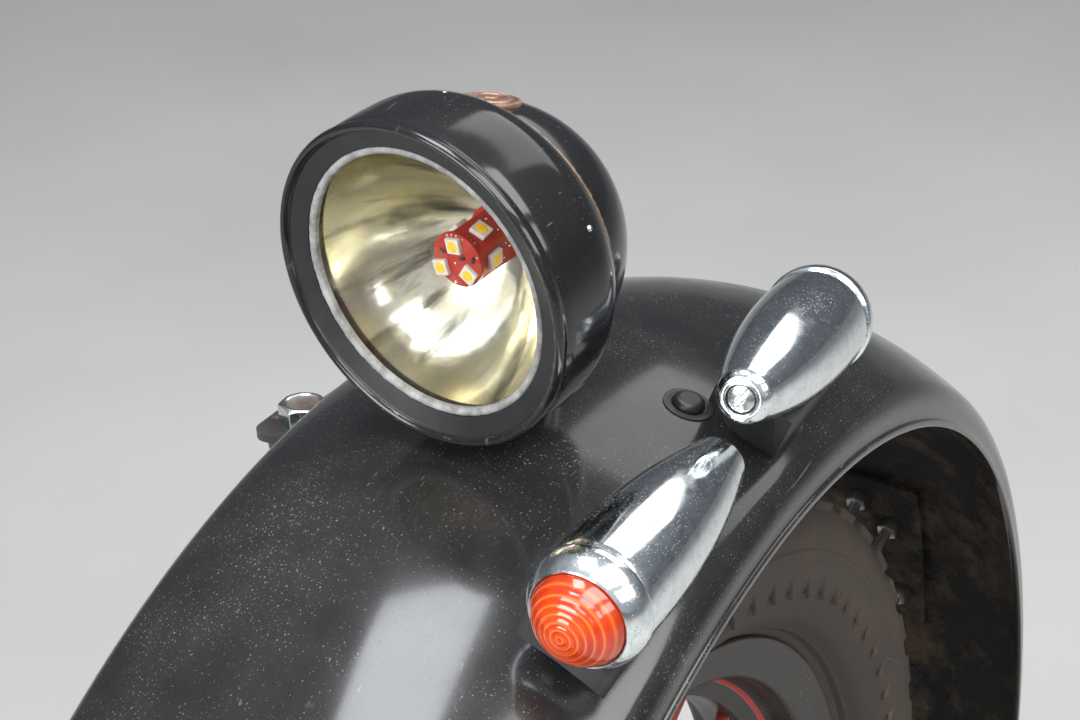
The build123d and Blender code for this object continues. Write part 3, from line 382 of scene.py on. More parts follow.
def plated(name, base, low, high, pits):
    """Polished plating with pits, cloudy places and hair scratches."""
    made = Finish(name, base, Metallic=1.0)
    cells = made.cells(1250.0)
    pit = cells["Distance"] < made.noise(70.0, 4.0, 0.6) ** 1.5 * cells["Color"] * pits
    murky = [channel * share for channel, share in zip(base, (0.60, 0.72, 0.70))]
    made.cover(made.noise(300.0, 5.0, 0.7).rise(0.42, 0.66) * 0.6, murky)
    made.cover(pit * 0.55, (0.20, 0.19, 0.18))
    made.bump(pit.rest(), 0.12, 0.00006)
    cloud = made.noise(160.0, 5.0, 0.65).ramp((0.4, low), (0.75, high))
    return made.done((cloud + pit * 0.35 + made.scratches(0.70) * 0.08).clamped())


def rough_part(name, base, other, rough, scale, relief, metallic=0.0, rust=None, edge_start=0.56):
    """A plain working finish with two shades, grain and worn edges."""
    made = Finish(name, base, Metallic=metallic)
    height = made.group(grain, Scale=scale)["Height"]
    made.cover(made.noise(scale / 14.0, 6.0, 0.65).rise(0.35, 0.7), other)
    roughness = height * 0.3 + (rough - 0.15)
    if rust is not None:
        worn = made.group(worn_patches, Scale=scale / 9.0, Amount=0.34, Sharpness=18.0)["Mask"]
        mask = made.edges(edge_start).most(worn)
        made.cover(mask, rust)
        roughness = (roughness + mask * 0.2).clamped()
    made.bump(height, relief, 0.0004)
    return made.done(roughness)


# Name, colour, roughness in clear and in cloudy places, and size of the pits
PLATED = {
    "chrome": ("marker lamp chrome", (0.90, 0.93, 0.95), 0.09, 0.22, 0.85),
    "cap_chrome": ("hub cap chrome", (0.74, 0.75, 0.76), 0.08, 0.28, 0.6),
    "screw_chrome": ("screw chrome", (0.62, 0.62, 0.62), 0.16, 0.34, 0.9),
    "bright_zinc": ("bright zinc", (0.78, 0.80, 0.80), 0.12, 0.34, 0.75),
}

# Name, two shades, roughness, scale and strength of the grain; then metal, worn colour and where wear starts
WORKING = {
    "zinc": ("zinc plated steel", (0.62, 0.62, 0.60), (0.42, 0.41, 0.38), 0.36, 1500.0, 0.12)
    + (1.0, (0.22, 0.13, 0.08), 0.62),
    "dull_zinc": ("dull zinc", (0.24, 0.22, 0.20), (0.13, 0.085, 0.06), 0.45, 1500.0, 0.25)
    + (0.7, (0.10, 0.05, 0.03), 0.60),
    "spoke_steel": ("spoke steel", (0.56, 0.55, 0.53), (0.34, 0.31, 0.28), 0.38, 1800.0, 0.10)
    + (1.0, (0.20, 0.12, 0.07), 0.66),
    "hub_alloy": ("cast hub alloy", (0.50, 0.50, 0.48), (0.30, 0.29, 0.27), 0.45, 900.0, 0.25)
    + (1.0, (0.16, 0.12, 0.09), 0.64),
    "bracket": ("bracket satin black", (0.016, 0.016, 0.017), (0.045, 0.042, 0.038), 0.42, 700.0, 0.18)
    + (0.0, (0.17, 0.075, 0.035), 0.545),
    "stay": ("stay satin black", (0.014, 0.014, 0.015), (0.040, 0.037, 0.034), 0.42, 700.0, 0.18)
    + (0.0, (0.15, 0.07, 0.035), 2.0),
    "badge": ("worn copper badge", (0.22, 0.12, 0.085), (0.44, 0.27, 0.20), 0.42, 1200.0, 0.35)
    + (0.75, (0.50, 0.36, 0.30), 0.52),
    "nipple": ("nipple red paint", (0.30, 0.016, 0.012), (0.13, 0.02, 0.015), 0.35, 1400.0, 0.15)
    + (0.0, (0.35, 0.30, 0.26), 0.58),
    "pad_rubber": ("pad rubber", (0.014, 0.014, 0.015), (0.034, 0.034, 0.034), 0.60, 1100.0, 0.18),
    "gasket": ("gasket rubber", (0.055, 0.030, 0.016), (0.16, 0.085, 0.04), 0.75, 900.0, 0.35),
    "seal": ("window seal", (0.42, 0.42, 0.40), (0.13, 0.13, 0.125), 0.75, 2600.0, 1.0),
    "well": ("rim inside satin black", (0.007, 0.007, 0.009), (0.018, 0.018, 0.019), 0.40, 900.0, 0.10),
    "chip": ("chip housing white", (0.70, 0.69, 0.64), (0.56, 0.55, 0.50), 0.38, 2500.0, 0.08),
    "solder": ("solder", (0.85, 0.84, 0.80), (0.6, 0.58, 0.52), 0.25, 2500.0, 0.2, 1.0),
    "holder": ("bulb holder black", (0.02, 0.02, 0.02), (0.05, 0.05, 0.05), 0.5, 900.0, 0.15),
}

FINISHES = {}


def finish_named(name):
    """Looks up a finish, making all of them the first time."""
    if not FINISHES:
        colours = bpy.context.scene.sidecar_finish
        for make, table in ((plated, PLATED), (rough_part, WORKING)):
            for key, values in table.items():
                FINISHES[key] = make(*values)
        board = ("circuit board red", colours.board, (0.46, 0.035, 0.018), 0.34, 1800.0, 0.12)
        FINISHES["board"] = rough_part(*board)
        FINISHES["paint"] = gloss_paint("mudguard gloss black", colours, 1.0, 0.62, 0.60)
        FINISHES["lamp_paint"] = gloss_paint("headlamp gloss black", colours, 0.3, 0.34, 0.535)
        for make in OWN_FINISHES:
            FINISHES[make.__name__] = make(colours)
    return FINISHES[name]


def rim_paint(colours):
    """Black rim with a thin red line inside the flange on the outboard side."""
    line_radius, line_half_width = 0.1975, 0.0009
    made = Finish("wheel rim satin black", colours.paint, Specular_IOR_Level=0.3)
    spot = made.node("SeparateXYZ", made.place())
    radius = (spot["X"] ** 2.0 + spot["Z"] ** 2.0).math("SQRT")
    line = radius.math("COMPARE", line_radius, line_half_width) * (spot["Y"] > WHEEL_CENTRE.y * MM)
    dirt = made.group(dust, Speck_scale=500.0, Speck_size=0.45, Film=1.0)
    worn = made.group(worn_patches, Scale=90.0, Amount=0.32, Sharpness=16.0)["Mask"]
    made.cover(line, (0.42, 0.02, 0.015))
    made.cover(dirt["Film"] * 0.22, (0.30, 0.24, 0.18))
    made.cover(dirt["Specks"] * 0.5, colours.dust)
    made.cover(worn * 0.5, (0.19, 0.12, 0.08))
    return made.done((dirt["Film"] * 0.35 + 0.30 + worn * 0.3).clamped())


def mud(colours):
    """Inside of the mudguard: dull black under brown mud."""
    made = Finish("mudguard inside", (0.010, 0.010, 0.010), Specular_IOR_Level=0.3)
    patches = made.noise(30.0, 8.0, 0.7).rise(0.46, 0.60)
    fine = made.noise(400.0, 4.0, 0.6)
    made.cover(patches, made.mix(fine, colours.mud, (0.07, 0.05, 0.035)))
    made.bump(patches * (fine + 0.5), 0.6, 0.0012)
    return made.done(patches.ramp((0.0, 0.55), (1.0, 0.92)))


def tyre(colours):
    """Dusty rubber, browner where dirt has settled, with fine cracks."""
    made = Finish("dusty tyre rubber", colours.rubber, Specular_IOR_Level=0.25)
    dirt = made.noise(26.0, 7.0, 0.68).rise(0.30, 0.72)
    fine = made.noise(700.0, 5.0, 0.65)
    crack = made.cells(420.0, feature="DISTANCE_TO_EDGE")["Distance"] < 0.02
    brown = made.mix(fine, (0.060, 0.042, 0.031), (0.115, 0.088, 0.069))
    made.cover(dirt * 0.6 + 0.15, brown)
    made.cover(made.edges(0.56) * 0.35, (0.20, 0.155, 0.12))
    made.cover(crack * 0.5, (0.03, 0.025, 0.02))
    made.bump(fine, 0.35, 0.0005)
    made.bump(crack.rest(), 0.35, 0.0002)
    return made.done(dirt.ramp((0.0, 0.62), (1.0, 0.92)))


def glass(_):
    """Clear window glass, more mirror-like at a glancing angle, with faint grime."""
    made = Finish("lamp glass", Transmission_Weight=1.0, IOR=1.5)
    facing = made.node("Fresnel", IOR=1.5)["Fac"]
    grime = made.noise(60.0, 6.0, 0.7).rise(0.45, 0.8)
    shown = made.node("NewGeometry")["Backfacing"].rest()
    made.feed(Alpha=((facing + 0.01 + grime * 0.03) * shown).clamped())
    made.colour = grime.ramp((0.0, (0.98, 0.99, 0.98)), (1.0, (0.85, 0.84, 0.78)))
    return made.done(grime.ramp((0.0, 0.01), (1.0, 0.12)))


def amber(colours):
    """Moulded amber plastic lens: painted highlights on its rings, painted shade at its border, faint
    painted glow.
    """
    through = {"Subsurface_Weight": 0.15, "Subsurface_Radius": (1.0, 0.2, 0.03), "Subsurface_Scale": 0.003}
    coat = {"Coat_Weight": 0.7, "Coat_Roughness": 0.07}
    made = Finish("amber lens", colours.amber, Transmission_Weight=0.2, IOR=1.49, **through, **coat)
    ring = made.node("Attribute", settings={"attribute_name": "ring"})["Fac"]
    # Paler lines along each ring: a painted highlight where the ring steps catch the light
    lines = (ring * 0.55).math("PINGPONG", 0.5).rise(0.30, 0.46)
    tone = made.noise(90.0, 3.0, 0.5)
    deep = [channel * share for channel, share in zip(colours.amber, (0.62, 0.30, 0.30))]
    made.cover(tone.rise(0.35, 0.66), deep)
    made.cover(lines * 0.42, (0.98, 0.34, 0.05))
    # Darker near the border: painted shade at the lens's edge
    made.cover((ring * 0.075).rise(0.80, 0.95) * 0.55, (0.20, 0.012, 0.001))
    # A faint painted glow in the lens's own colour
    made.feed(Emission_Color=made.colour, Emission_Strength=0.06)
    return made.done(tone.ramp((0.3, 0.12), (0.8, 0.24)))


def reflector(_):
    """Silvered bowl gone yellow, tarnished in streaks from the middle to the mouth, with painted shade at
    the top.
    """
    mouth = 0.036
    made = Finish("yellowed reflector", (0.84, 0.82, 0.72), Metallic=0.9)
    bowl = {"Location": LAMP_PLACE.translation, "Rotation": LAMP_PLACE.to_euler()}
    into = {"vector_type": "TEXTURE"}
    spot = made.node("SeparateXYZ", made.place(settings=into, **bowl))
    across, up = spot["X"], spot["Z"]
    radius = (across**2.0 + up**2.0).math("SQRT").most(0.001)
    ray = made.node("CombineXYZ", X=across / radius, Y=radius * 9.0, Z=up / radius)["Vector"]
    streaks = made.noise(3.1, 4.0, 0.55, 0.25, ray)
    soft = made.noise(34.0, 5.0, 0.62, 0.6)
    made.cover(soft.rise(0.36, 0.66), (0.72, 0.64, 0.38))
    # Darker olive towards the top of the bowl: painted shade, and also heavier tarnish there
    made.cover((up / mouth * 0.5 + 0.5).rise(0.35, 0.8) * 0.75, (0.33, 0.31, 0.17))
    made.cover(streaks.rise(0.52, 0.62) * 0.82, (0.085, 0.08, 0.06))
    made.cover(made.noise(260.0, 4.0, 0.6).rise(0.62, 0.74) * 0.3, (0.30, 0.25, 0.15))
    made.bump(made.noise(60.0, 3.0, 0.5), 0.10, 0.002)
    return made.done(soft.ramp((0.35, 0.10), (0.75, 0.24)))


def phosphor(_):
    """Yellow phosphor of a light chip, with a faint painted glow so that it looks bright in daylight."""
    made = Finish("chip phosphor")
    made.colour = made.noise(900.0, 2.0).ramp((0.3, (0.90, 0.44, 0.015)), (0.7, (0.93, 0.58, 0.04)))
    # A faint painted glow in the phosphor's own colour
    made.feed(Emission_Color=made.colour, Emission_Strength=0.12)
    return made.done(0.35)


# The finishes that have a function of their own, by its name
OWN_FINISHES = (rim_paint, mud, tyre, glass, amber, reflector, phosphor)


# Shape building


def placed(origin, direction, up=Vector((0, 0, 1))):
    """Matrix from a drawing frame in mm, y along the direction, to the world in metres."""
    y = direction.normalized()
    z = (up - y * up.dot(y)).normalized()
    x = y.cross(z)
    turn = Matrix((x, y, z)).transposed().to_4x4()
    return Matrix.Scale(MM, 4) @ Matrix.Translation(origin) @ turn


AS_IS = Matrix.Identity(4)
WHEEL_PLACE = placed(WHEEL_CENTRE, Vector((0, 1, 0)))
GUARD_PLACE = Matrix.Scale(MM, 4) @ Matrix.Translation(GUARD_CENTRE)
LAMP_PLACE = placed(LAMP_FRONT, LAMP_DIRECTION)


def about(axis, angle):
    """Turn about an axis, in degrees."""
    return Matrix.Rotation(radians(angle), 4, axis)


def moved(x, y, z):
    """Matrix of a move."""
    return Matrix.Translation((x, y, z))


def stretched(x, y, z):
    """Matrix of a stretch."""
    return Matrix.Diagonal((x, y, z, 1.0))


def crown_bend(sizes):
    """Radius of the mudguard's crown, across the wheel, in mm."""
    reach, rise = sizes.half_width - SHOULDER, sizes.crown_height - FLANK
    return (reach**2 + rise**2 - SHOULDER**2) / (2 * (rise - SHOULDER))


def crown_radius(sizes, side):
    """Distance of the mudguard's outer face from its axis, at a place across it, in mm."""
    bend = crown_bend(sizes)
    return sizes.edge_radius + sizes.crown_height - bend + sqrt(bend**2 - side**2)


class Outline:
    """A wire in the XY plane, to be spun about Y: x is a radius, y runs along the axis."""

    def __init__(self, x, y):
        self.bm = bmesh.new()
        self.first = self.last = self.bm.verts.new((x, y, 0))

    def line(self, *points):
        """Straight runs to each point in turn."""
        for x, y in points:
            vert = self.bm.verts.new((x, y, 0))
            self.bm.edges.new((self.last, vert))
            self.last = vert
        return self

    def arc(self, through, end, steps=12):
        """Arc through one point to another, made by spinning the last vertex."""
        a, b, c = self.last.co, Vector((*through, 0)), Vector((*end, 0))
        twice = 2 * (a.x * (b.y - c.y) + b.x * (c.y - a.y) + c.x * (a.y - b.y))
        squares = [p.x**2 + p.y**2 for p in (a, b, c)]
        x = (squares[0] * (b.y - c.y) + squares[1] * (c.y - a.y) + squares[2] * (a.y - b.y)) / twice
        y = (squares[0] * (c.x - b.x) + squares[1] * (a.x - c.x) + squares[2] * (b.x - a.x)) / twice
        sweep = (atan2(c.y - y, c.x - x) - atan2(a.y - y, a.x - x)) % tau
        if twice < 0:
            sweep -= tau
        turn = {"cent": (x, y, 0), "axis": (0, 0, 1), "angle": sweep, "steps": steps}
        made = bmesh.ops.spin(self.bm, geom=[self.last], use_merge=False, **turn)
        self.last = [item for item in made["geom_last"] if isinstance(item, bmesh.types.BMVert)][0]
        return self

    def points(self):
        """The points drawn so far."""
        return [(vert.co.x, vert.co.y) for vert in self.bm.verts]

    def back(self, points):
        """Runs back along points, mirrored to the other side."""
        return self.line(*[(x, -y) for x, y in reversed(points)])

    def close(self):
        """Joins the end to the start."""
        self.bm.edges.new((self.last, self.first))
        return self

    def spin(self, steps=96, sweep=tau, axis=(0, 1, 0)):
        """Spins the wire into a closed skin; a part turn gets its two ends capped."""
        bm = self.bm
        full = abs(sweep - tau) < 1e-6
        turn = {"cent": (0, 0, 0), "axis": axis, "angle": sweep, "steps": steps}
        bmesh.ops.spin(bm, geom=bm.verts[:] + bm.edges[:], use_merge=full, **turn)
        bmesh.ops.remove_doubles(bm, verts=bm.verts, dist=1e-4)
        if not full:
            ends = [edge for edge in bm.edges if edge.is_boundary]
            made = bmesh.ops.holes_fill(bm, edges=ends, sides=0)
            bmesh.ops.triangulate(bm, faces=made["faces"])
        bmesh.ops.recalc_face_normals(bm, faces=bm.faces)
        return bm


def whole(bm):
    """Everything in a drawing."""
    return bm.verts[:] + bm.edges[:] + bm.faces[:]


def transform(bm, matrix):
    """Moves a drawing by a matrix."""
    bmesh.ops.transform(bm, matrix=matrix, verts=bm.verts)
    return bm


def bevel(bm, edges, width, segments=2):
    """Bevels these edges."""
    how = {"profile": 0.5, "affect": "EDGES", "material": -1, "clamp_overlap": True}
    bmesh.ops.bevel(bm, geom=edges, offset=width, offset_type="OFFSET", segments=segments, **how)
    return bm


def round_edges(bm, width, angle=30):
    """Bevels every edge that is sharper than the angle."""
    sharp = [edge for edge in bm.edges if edge.is_manifold and edge.calc_face_angle(0) > radians(angle)]
    return bevel(bm, sharp, width)


def cube(x, y, z, place=AS_IS):
    """A block of these sizes."""
    bm = bmesh.new()
    bmesh.ops.create_cube(bm, size=1.0, matrix=place @ stretched(x, y, z))
    return bm


def repeated(bm, count):
    """Copies a drawing round the Y axis."""
    turn = {"cent": (0, 0, 0), "axis": (0, 1, 0), "angle": tau - tau / count, "steps": count - 1}
    bmesh.ops.spin(bm, geom=whole(bm), use_duplicate=True, **turn)
    return bm


def add_to(target, bm, place=AS_IS):
    """Joins one drawing into another."""
    mesh = bpy.data.meshes.new("part")
    transform(bm, place).to_mesh(mesh)
    bm.free()
    target.from_mesh(mesh)
    bpy.data.meshes.remove(mesh)
    return target


def set_material(bm, index, faces=None):
    """Gives faces a material slot number."""
    for face in bm.faces if faces is None else faces:
        face.material_index = index
    return bm


def axis_distance(face):
    """Distance of a face's middle from the drawing's axis."""
    middle = face.calc_center_median()
    return hypot(middle.x, middle.z)


def make_piece(bm, name, place, slot, finishes, *stands_for, body="frame", smooth=32):
    """Turns a drawing into a finished piece that rides on a body and stands for solids."""
    mesh = bpy.data.meshes.new(name)
    transform(bm, place).to_mesh(mesh)
    bm.free()
    mesh.shade_smooth()
    mesh.set_sharp_from_angle(angle=radians(smooth))
    piece = bpy.data.objects.new(name, mesh)
    bpy.context.scene.collection.objects.link(piece)
    for finish in [finishes] if isinstance(finishes, str) else finishes:
        mesh.materials.append(finish_named(finish))
    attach(piece, body)
    if stands_for:
        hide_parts(*stands_for)
    return piece


def merged_copy(node, place=AS_IS):
    """A merged copy of a solid's mesh, drawn in a place's own frame."""
    bm = bmesh.new()
    bm.from_mesh(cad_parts[node].data)
    bmesh.ops.remove_doubles(bm, verts=bm.verts, dist=2e-6)
    bmesh.ops.dissolve_limit(bm, angle_limit=radians(0.6), verts=bm.verts, edges=bm.edges)
    return transform(bm, place.inverted())


def softened(node, name, slot, finish, width, body="frame"):
    """A copy of a solid with its edges rounded, which stands for the solid."""
    bm = round_edges(merged_copy(node), width * MM, angle=38)
    make_piece(bm, name, AS_IS, slot, finish, node, body=body)


# Operators


class SIDECAR_OT_mudguard(bpy.types.Operator):
    """Spins the domed mudguard with its folded edges"""

    bl_idname = "sidecar.mudguard"
    bl_label = "Mudguard"

    def execute(self, context):
        sizes = context.scene.sidecar_guard
        edge, half, wall, hem = sizes.edge_radius, sizes.half_width, sizes.wall, sizes.hem
        base, top = edge + FLANK, edge + sizes.crown_height
        reach, crown = half - SHOULDER, crown_bend(sizes)
        lean = atan2(reach, crown + base - top)
        outline = Outline(edge, -half)

        def section(inset, sign):
            """Flank, shoulder, crown and shoulder of one skin, from one side to the other."""
            bend = SHOULDER - inset

            def bent(turn):
                """Point of the shoulder's bend, by its angle from the outward direction."""
                return base + bend * cos(turn), sign * (reach + bend * sin(turn))

            (x, y), (middle_x, middle_y) = bent(lean), bent((pi / 2 + lean) / 2)
            flank = sign * (half - inset)
            outline.line((base, flank)).arc((middle_x, middle_y), (x, y), 8)
            outline.arc((top - inset, 0), (x, -y), 30).arc((middle_x, -middle_y), (base, -flank), 8)

        inner, lip = half - wall, half - wall + hem
        fold = ((edge, half), (edge - 0.3, lip), (edge - hem, lip), (edge - hem, inner), (edge, inner))
        section(0.0, -1)
        outline.line(*fold)
        section(wall, 1)
        outline.back(fold[1:]).close()
        transform(outline.bm, Matrix.Rotation(-sizes.front_angle, 4, "Y"))
        bm = round_edges(outline.spin(200, sizes.rear_angle - sizes.front_angle, (0, -1, 0)), 0.45, 50)
        inside = []
        for face in bm.faces:
            middle = face.calc_center_median()
            out = Vector((middle.x, 0, middle.z)).normalized()
            if face.normal.dot(middle - out * (top - crown)) < 0 and abs(middle.y) < inner + 0.1:
                inside.append(face)
        set_material(bm, 1, inside)
        finishes = ("paint", "mud")
        make_piece(bm, "mudguard_skin", GUARD_PLACE, "black_paint", finishes, "mudguard", smooth=40)
        return {"FINISHED"}


def on_bowl(height, turn):
    """Point of an outline at a height over the bowl's middle, turned from the axis by degrees."""
    return height * sin(radians(turn)), height * cos(radians(turn))


class SIDECAR_OT_headlamp_body(bpy.types.Operator):
    """Makes the headlamp's bowl with its foot, its rim, badge, rivets and gasket"""

    bl_idname = "sidecar.headlamp_body"
    bl_label = "Headlamp body"

    def execute(self, context):
        sizes = context.scene.sidecar_lamps
        radius, window = sizes.radius, sizes.window
        joint = -20.6
        rim = Outline(window, -4.5).line((window, -3.3), (44.6, -1.9))
        rim.arc((45.2, -0.5), (46.4, 0.0), 4).arc((47.15, -0.9), (radius - 0.05, -2.6), 5)
        rim.line((46.75, -3.9), (radius - 0.1, -5.2)).arc((radius, -13.0), (radius - 0.3, joint), 8)
        rim.arc((45.1, -27.6), (40.5, -33.3), 10).line((40.0, -33.9), (39.0, -33.6))
        rim.arc((43.9, -27.0), (radius - 1.4, joint), 8).line((radius - 1.2, -4.5)).close()
        bm = round_edges(rim.spin(144), 0.22, 28)
        for face in bm.faces:
            if 39.2 < axis_distance(face) < 44.7 and face.calc_center_median().y > -3.6:
                face.material_index = 1
        make_piece(bm, "headlamp_rim", LAMP_PLACE, "black_paint", ("lamp_paint", "well"), "lamp_rim")

        mouth, wall = -33.4, 1.2
        inner = BOWL_RADIUS - wall
        crease = sqrt(BOWL_RADIUS**2 - (BOWL_MIDDLE - mouth) ** 2)
        half = sin(radians(45))
        bowl = Outline(0, BOWL_MIDDLE - BOWL_RADIUS)
        bowl.arc((half * BOWL_RADIUS, BOWL_MIDDLE - half * BOWL_RADIUS), (crease, mouth), 26)
        bowl.line((crease - 1.3, mouth))
        bowl.arc((half * inner, BOWL_MIDDLE - half * inner), (0, BOWL_MIDDLE - inner), 22)
        bm = bowl.spin(128)
        low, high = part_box("lamp_gasket")
        foot = Vector(((low[0] + high[0]) / 2, (low[1] + high[1]) / 2, high[2])) / MM
        upright = (LAMP_FRONT - LAMP_DIRECTION * 46.0 - foot).normalized()
        pedestal = Outline(0, -0.6).line((13.0, -0.6)).arc((12.2, 1.2), (11.2, 3.6), 5)
        pedestal.line((10.6, 9.0), (11.2, 18.0), (0, 21.0))
        to_lamp = LAMP_PLACE.inverted() @ placed(foot, upright, Vector((1, 0, 0)))
        add_to(bm, round_edges(pedestal.spin(64), 0.4), to_lamp)
        make_piece(bm, "headlamp_bowl", LAMP_PLACE, "black_paint", "lamp_paint", "lamp_shell")

        lean = radians(16.3)
        lamp_up = LAMP_PLACE.to_3x3() @ Vector((0, 0, 1)) / MM
        badge_normal = (lamp_up * cos(lean) - LAMP_DIRECTION * sin(lean)).normalized()
        centre = LAMP_FRONT + LAMP_DIRECTION * BOWL_MIDDLE
        back, valley, face, brim = 39.6, 40.9, 41.2, 41.25
        badge = Outline(0, back).line((0, face))
        for height, turn in (
            (face, 3.0), (valley, 3.2), (valley, 5.4), (face, 5.6), (face, 8.2), (valley, 8.4),
            (valley, 9.6), (brim, 9.9), (brim, 11.3), (40.2, 11.7), (back, 11.4),
        ):
            badge.line(on_bowl(height, turn))
        place = placed(centre, badge_normal, LAMP_DIRECTION)
        bm = round_edges(badge.spin(72), 0.08, 25)
        make_piece(bm, "headlamp_badge", place, "copper_badge", "badge", "lamp_badge")

        bm = bmesh.new()
        for turn, along, out, head in ((-66, -21.8, 46.6, 1.0), (4, -24.6, 45.9, 0.9)):
            dome = Outline(0, head * 0.7).arc((head * 0.72, head * 0.45), (head, -0.4), 5).line((0, -0.4))
            add_to(bm, dome.spin(16), about("Y", turn) @ moved(0, along, out) @ about("X", 90))
        make_piece(bm, "headlamp_rivets", LAMP_PLACE, "zinc_steel", "zinc")
        softened("lamp_gasket", "headlamp_gasket", "soft_rubber", "gasket", 0.35)
        softened("lamp_stud", "headlamp_stud", "zinc_steel", "zinc", 0.4)
        return {"FINISHED"}


# The bulb's finishes, in the order of its material slots
BULB_FINISHES = ("board", "chip", "phosphor", "solder", "holder")
HOUSING, PHOSPHOR, SOLDER, BLACK = range(1, len(BULB_FINISHES))
CHIP_WIDTH = 5.0

# The bulb's solder joints: across and deep on each of its sides, across and up on its face
SIDE_JOINTS = ((-1.8, 20.9), (-0.4, 20.9), (1.0, 20.9), (-2.4, 30.6), (2.2, 31.0), (0.2, 33.0))
FACE_JOINTS = ((2.7, 6.9), (1.2, 7.3), (-0.4, 7.4), (-2.4, 6.7), (0.9, -1.2), (-6.9, 2.3), (1.6, -7.1))


def chip(bm, place):
    """One light chip: a white housing with a round yellow window, its face towards +Y."""
    body = round_edges(cube(CHIP_WIDTH, 1.5, CHIP_WIDTH), 0.22, 40)
    front = max(body.faces, key=lambda face: face.calc_center_median().y)
    bmesh.ops.inset_region(body, faces=[front], thickness=0.3, depth=0.0)
    add_to(bm, set_material(body, HOUSING), place)
    window = Outline(0, 0.92).arc((1.3, 0.88), (1.95, 0.72), 4).line((1.95, 0.6), (0, 0.6)).spin(28)
    add_to(bm, set_material(window, PHOSPHOR), place)


class SIDECAR_OT_headlamp_optics(bpy.types.Operator):
    """Makes the glass, its seal, the reflector and the bulb with its light chips"""

    bl_idname = "sidecar.headlamp_optics"
    bl_label = "Headlamp glass and bulb"

    def execute(self, context):
        window = context.scene.sidecar_lamps.window
        front, back = -5.3, -8.3
        inner = window - 2.1
        seal = Outline(inner, front).line((inner, -4.5)).arc((window - 1.9, -3.7), (window - 1.3, -3.3), 4)
        seal.arc((window - 0.5, -3.25), (window, -3.7), 3).line((window, front)).close()
        bm = seal.spin(220)
        for vert in bm.verts:
            if vert.co.y > -5:
                angle = atan2(vert.co.z, vert.co.x)
                vert.co.y += 0.16 * sin(31 * angle) * sin(47 * angle + vert.co.x)
        make_piece(bm, "window_seal", LAMP_PLACE, "seal_rubber", "seal", "lamp_seal", smooth=60)

        glass = Outline(0, front).line((window + 3, front), (window + 3, back), (0, back))
        bm = round_edges(glass.spin(96), 0.3)
        make_piece(bm, "window_glass", LAMP_PLACE, "lamp_glass", "glass", "lamp_glass")

        mouth, neck, flange = window - 1.0, 9.15, 45.8
        bowl = Outline(flange, -8.35).line((mouth, -8.35)).arc((0.74 * mouth, -27.8), (neck, -42.3), 30)
        bowl.line((neck, -43.1)).arc((0.75 * mouth, -28.8), (mouth + 0.8, -9.2), 24)
        bm = bowl.line((flange, -9.2)).close().spin(144)
        make_piece(bm, "reflector_bowl", LAMP_PLACE, "silvered", "reflector", "lamp_reflector", smooth=50)
        self.make_bulb()
        softened("bulb_holder", "bulb_holder_body", "holder_plastic", "holder", 0.5)
        return {"FINISHED"}

    def make_bulb(self):
        """A five-sided tower of boards with light chips on its sides and its face."""
        bm = bmesh.new()

        def solder(place, radius):
            """A blob of solder."""
            ball = bmesh.new()
            bmesh.ops.create_icosphere(ball, subdivisions=2, radius=radius, matrix=place)
            add_to(bm, set_material(ball, SOLDER))

        front = -18.7
        face = Outline(0, front).line((8.1, front), (8.1, front - 1.2), (0, front - 1.2))
        add_to(bm, round_edges(face.spin(48), 0.12))
        tower = bmesh.new()
        sides, apothem, turned_by = 5, 6.65, -27
        corner = apothem / cos(pi / sides)
        size = {"radius1": corner, "radius2": corner, "depth": 19.0}
        stand = moved(0, -29.3, 0) @ about("X", -90)
        bmesh.ops.create_cone(tower, cap_ends=True, segments=sides, matrix=stand, **size)
        add_to(bm, round_edges(tower, 0.25), about("Y", turned_by))
        collar = Outline(0, -35.2).line((8.3, -35.2), (8.3, -39.7), (0, -39.7))
        add_to(bm, round_edges(collar.spin(48), 0.2))
        for across, up, turn in ((0.3, 4.5, 8), (5.4, -3.2, 14), (-3.9, -3.3, -34)):
            chip(bm, moved(across, -18.1, up) @ about("Y", turn) @ Matrix.Scale(0.9, 4))
        for step in range(sides):
            out = about("Y", turned_by - 360 / sides * step)
            lie = moved(0, -25.8, apothem + 0.7) @ about("X", 90) @ about("Y", 6)
            chip(bm, out @ lie @ Matrix.Scale(0.96, 4))
            for x, depth in SIDE_JOINTS:
                solder(out @ moved(x, -depth, apothem), 0.4)
        for x, z in FACE_JOINTS:
            solder(moved(x, front, z) @ stretched(1, 0.6, 1), 0.42)
        for x, z, turn in ((-5.6, 1.4, 70), (-1.9, 1.0, 20), (4.8, 1.8, -30)):
            part = cube(1.7, 0.6, 0.9, moved(x, -18.45, z) @ about("Y", turn))
            add_to(bm, set_material(round_edges(part, 0.1), BLACK))
        make_piece(bm, "light_chip_bulb", LAMP_PLACE, "red_board", BULB_FINISHES, "lamp_bulb")


def slotted_head(radius, height):
    """A domed screw head with a cut slot, its face towards -Y."""
    slot_edge, slot_depth = 0.55, 0.5
    head = Outline(0, -height).arc((radius * 0.62, -height * 0.8), (radius, 0), 8)
    bm = head.line((radius, 0.9), (0, 0.9)).spin(48)
    for offset in (0.6, -0.6, 0.5, -0.5):
        bmesh.ops.bisect_plane(bm, geom=whole(bm), plane_co=(offset, 0, 0), plane_no=(1, 0, 0))
    for vert in bm.verts:
        if abs(vert.co.x) < slot_edge and vert.co.y < -0.05:
            vert.co.y = slot_depth
    bmesh.ops.recalc_face_normals(bm, faces=bm.faces)
    return bm


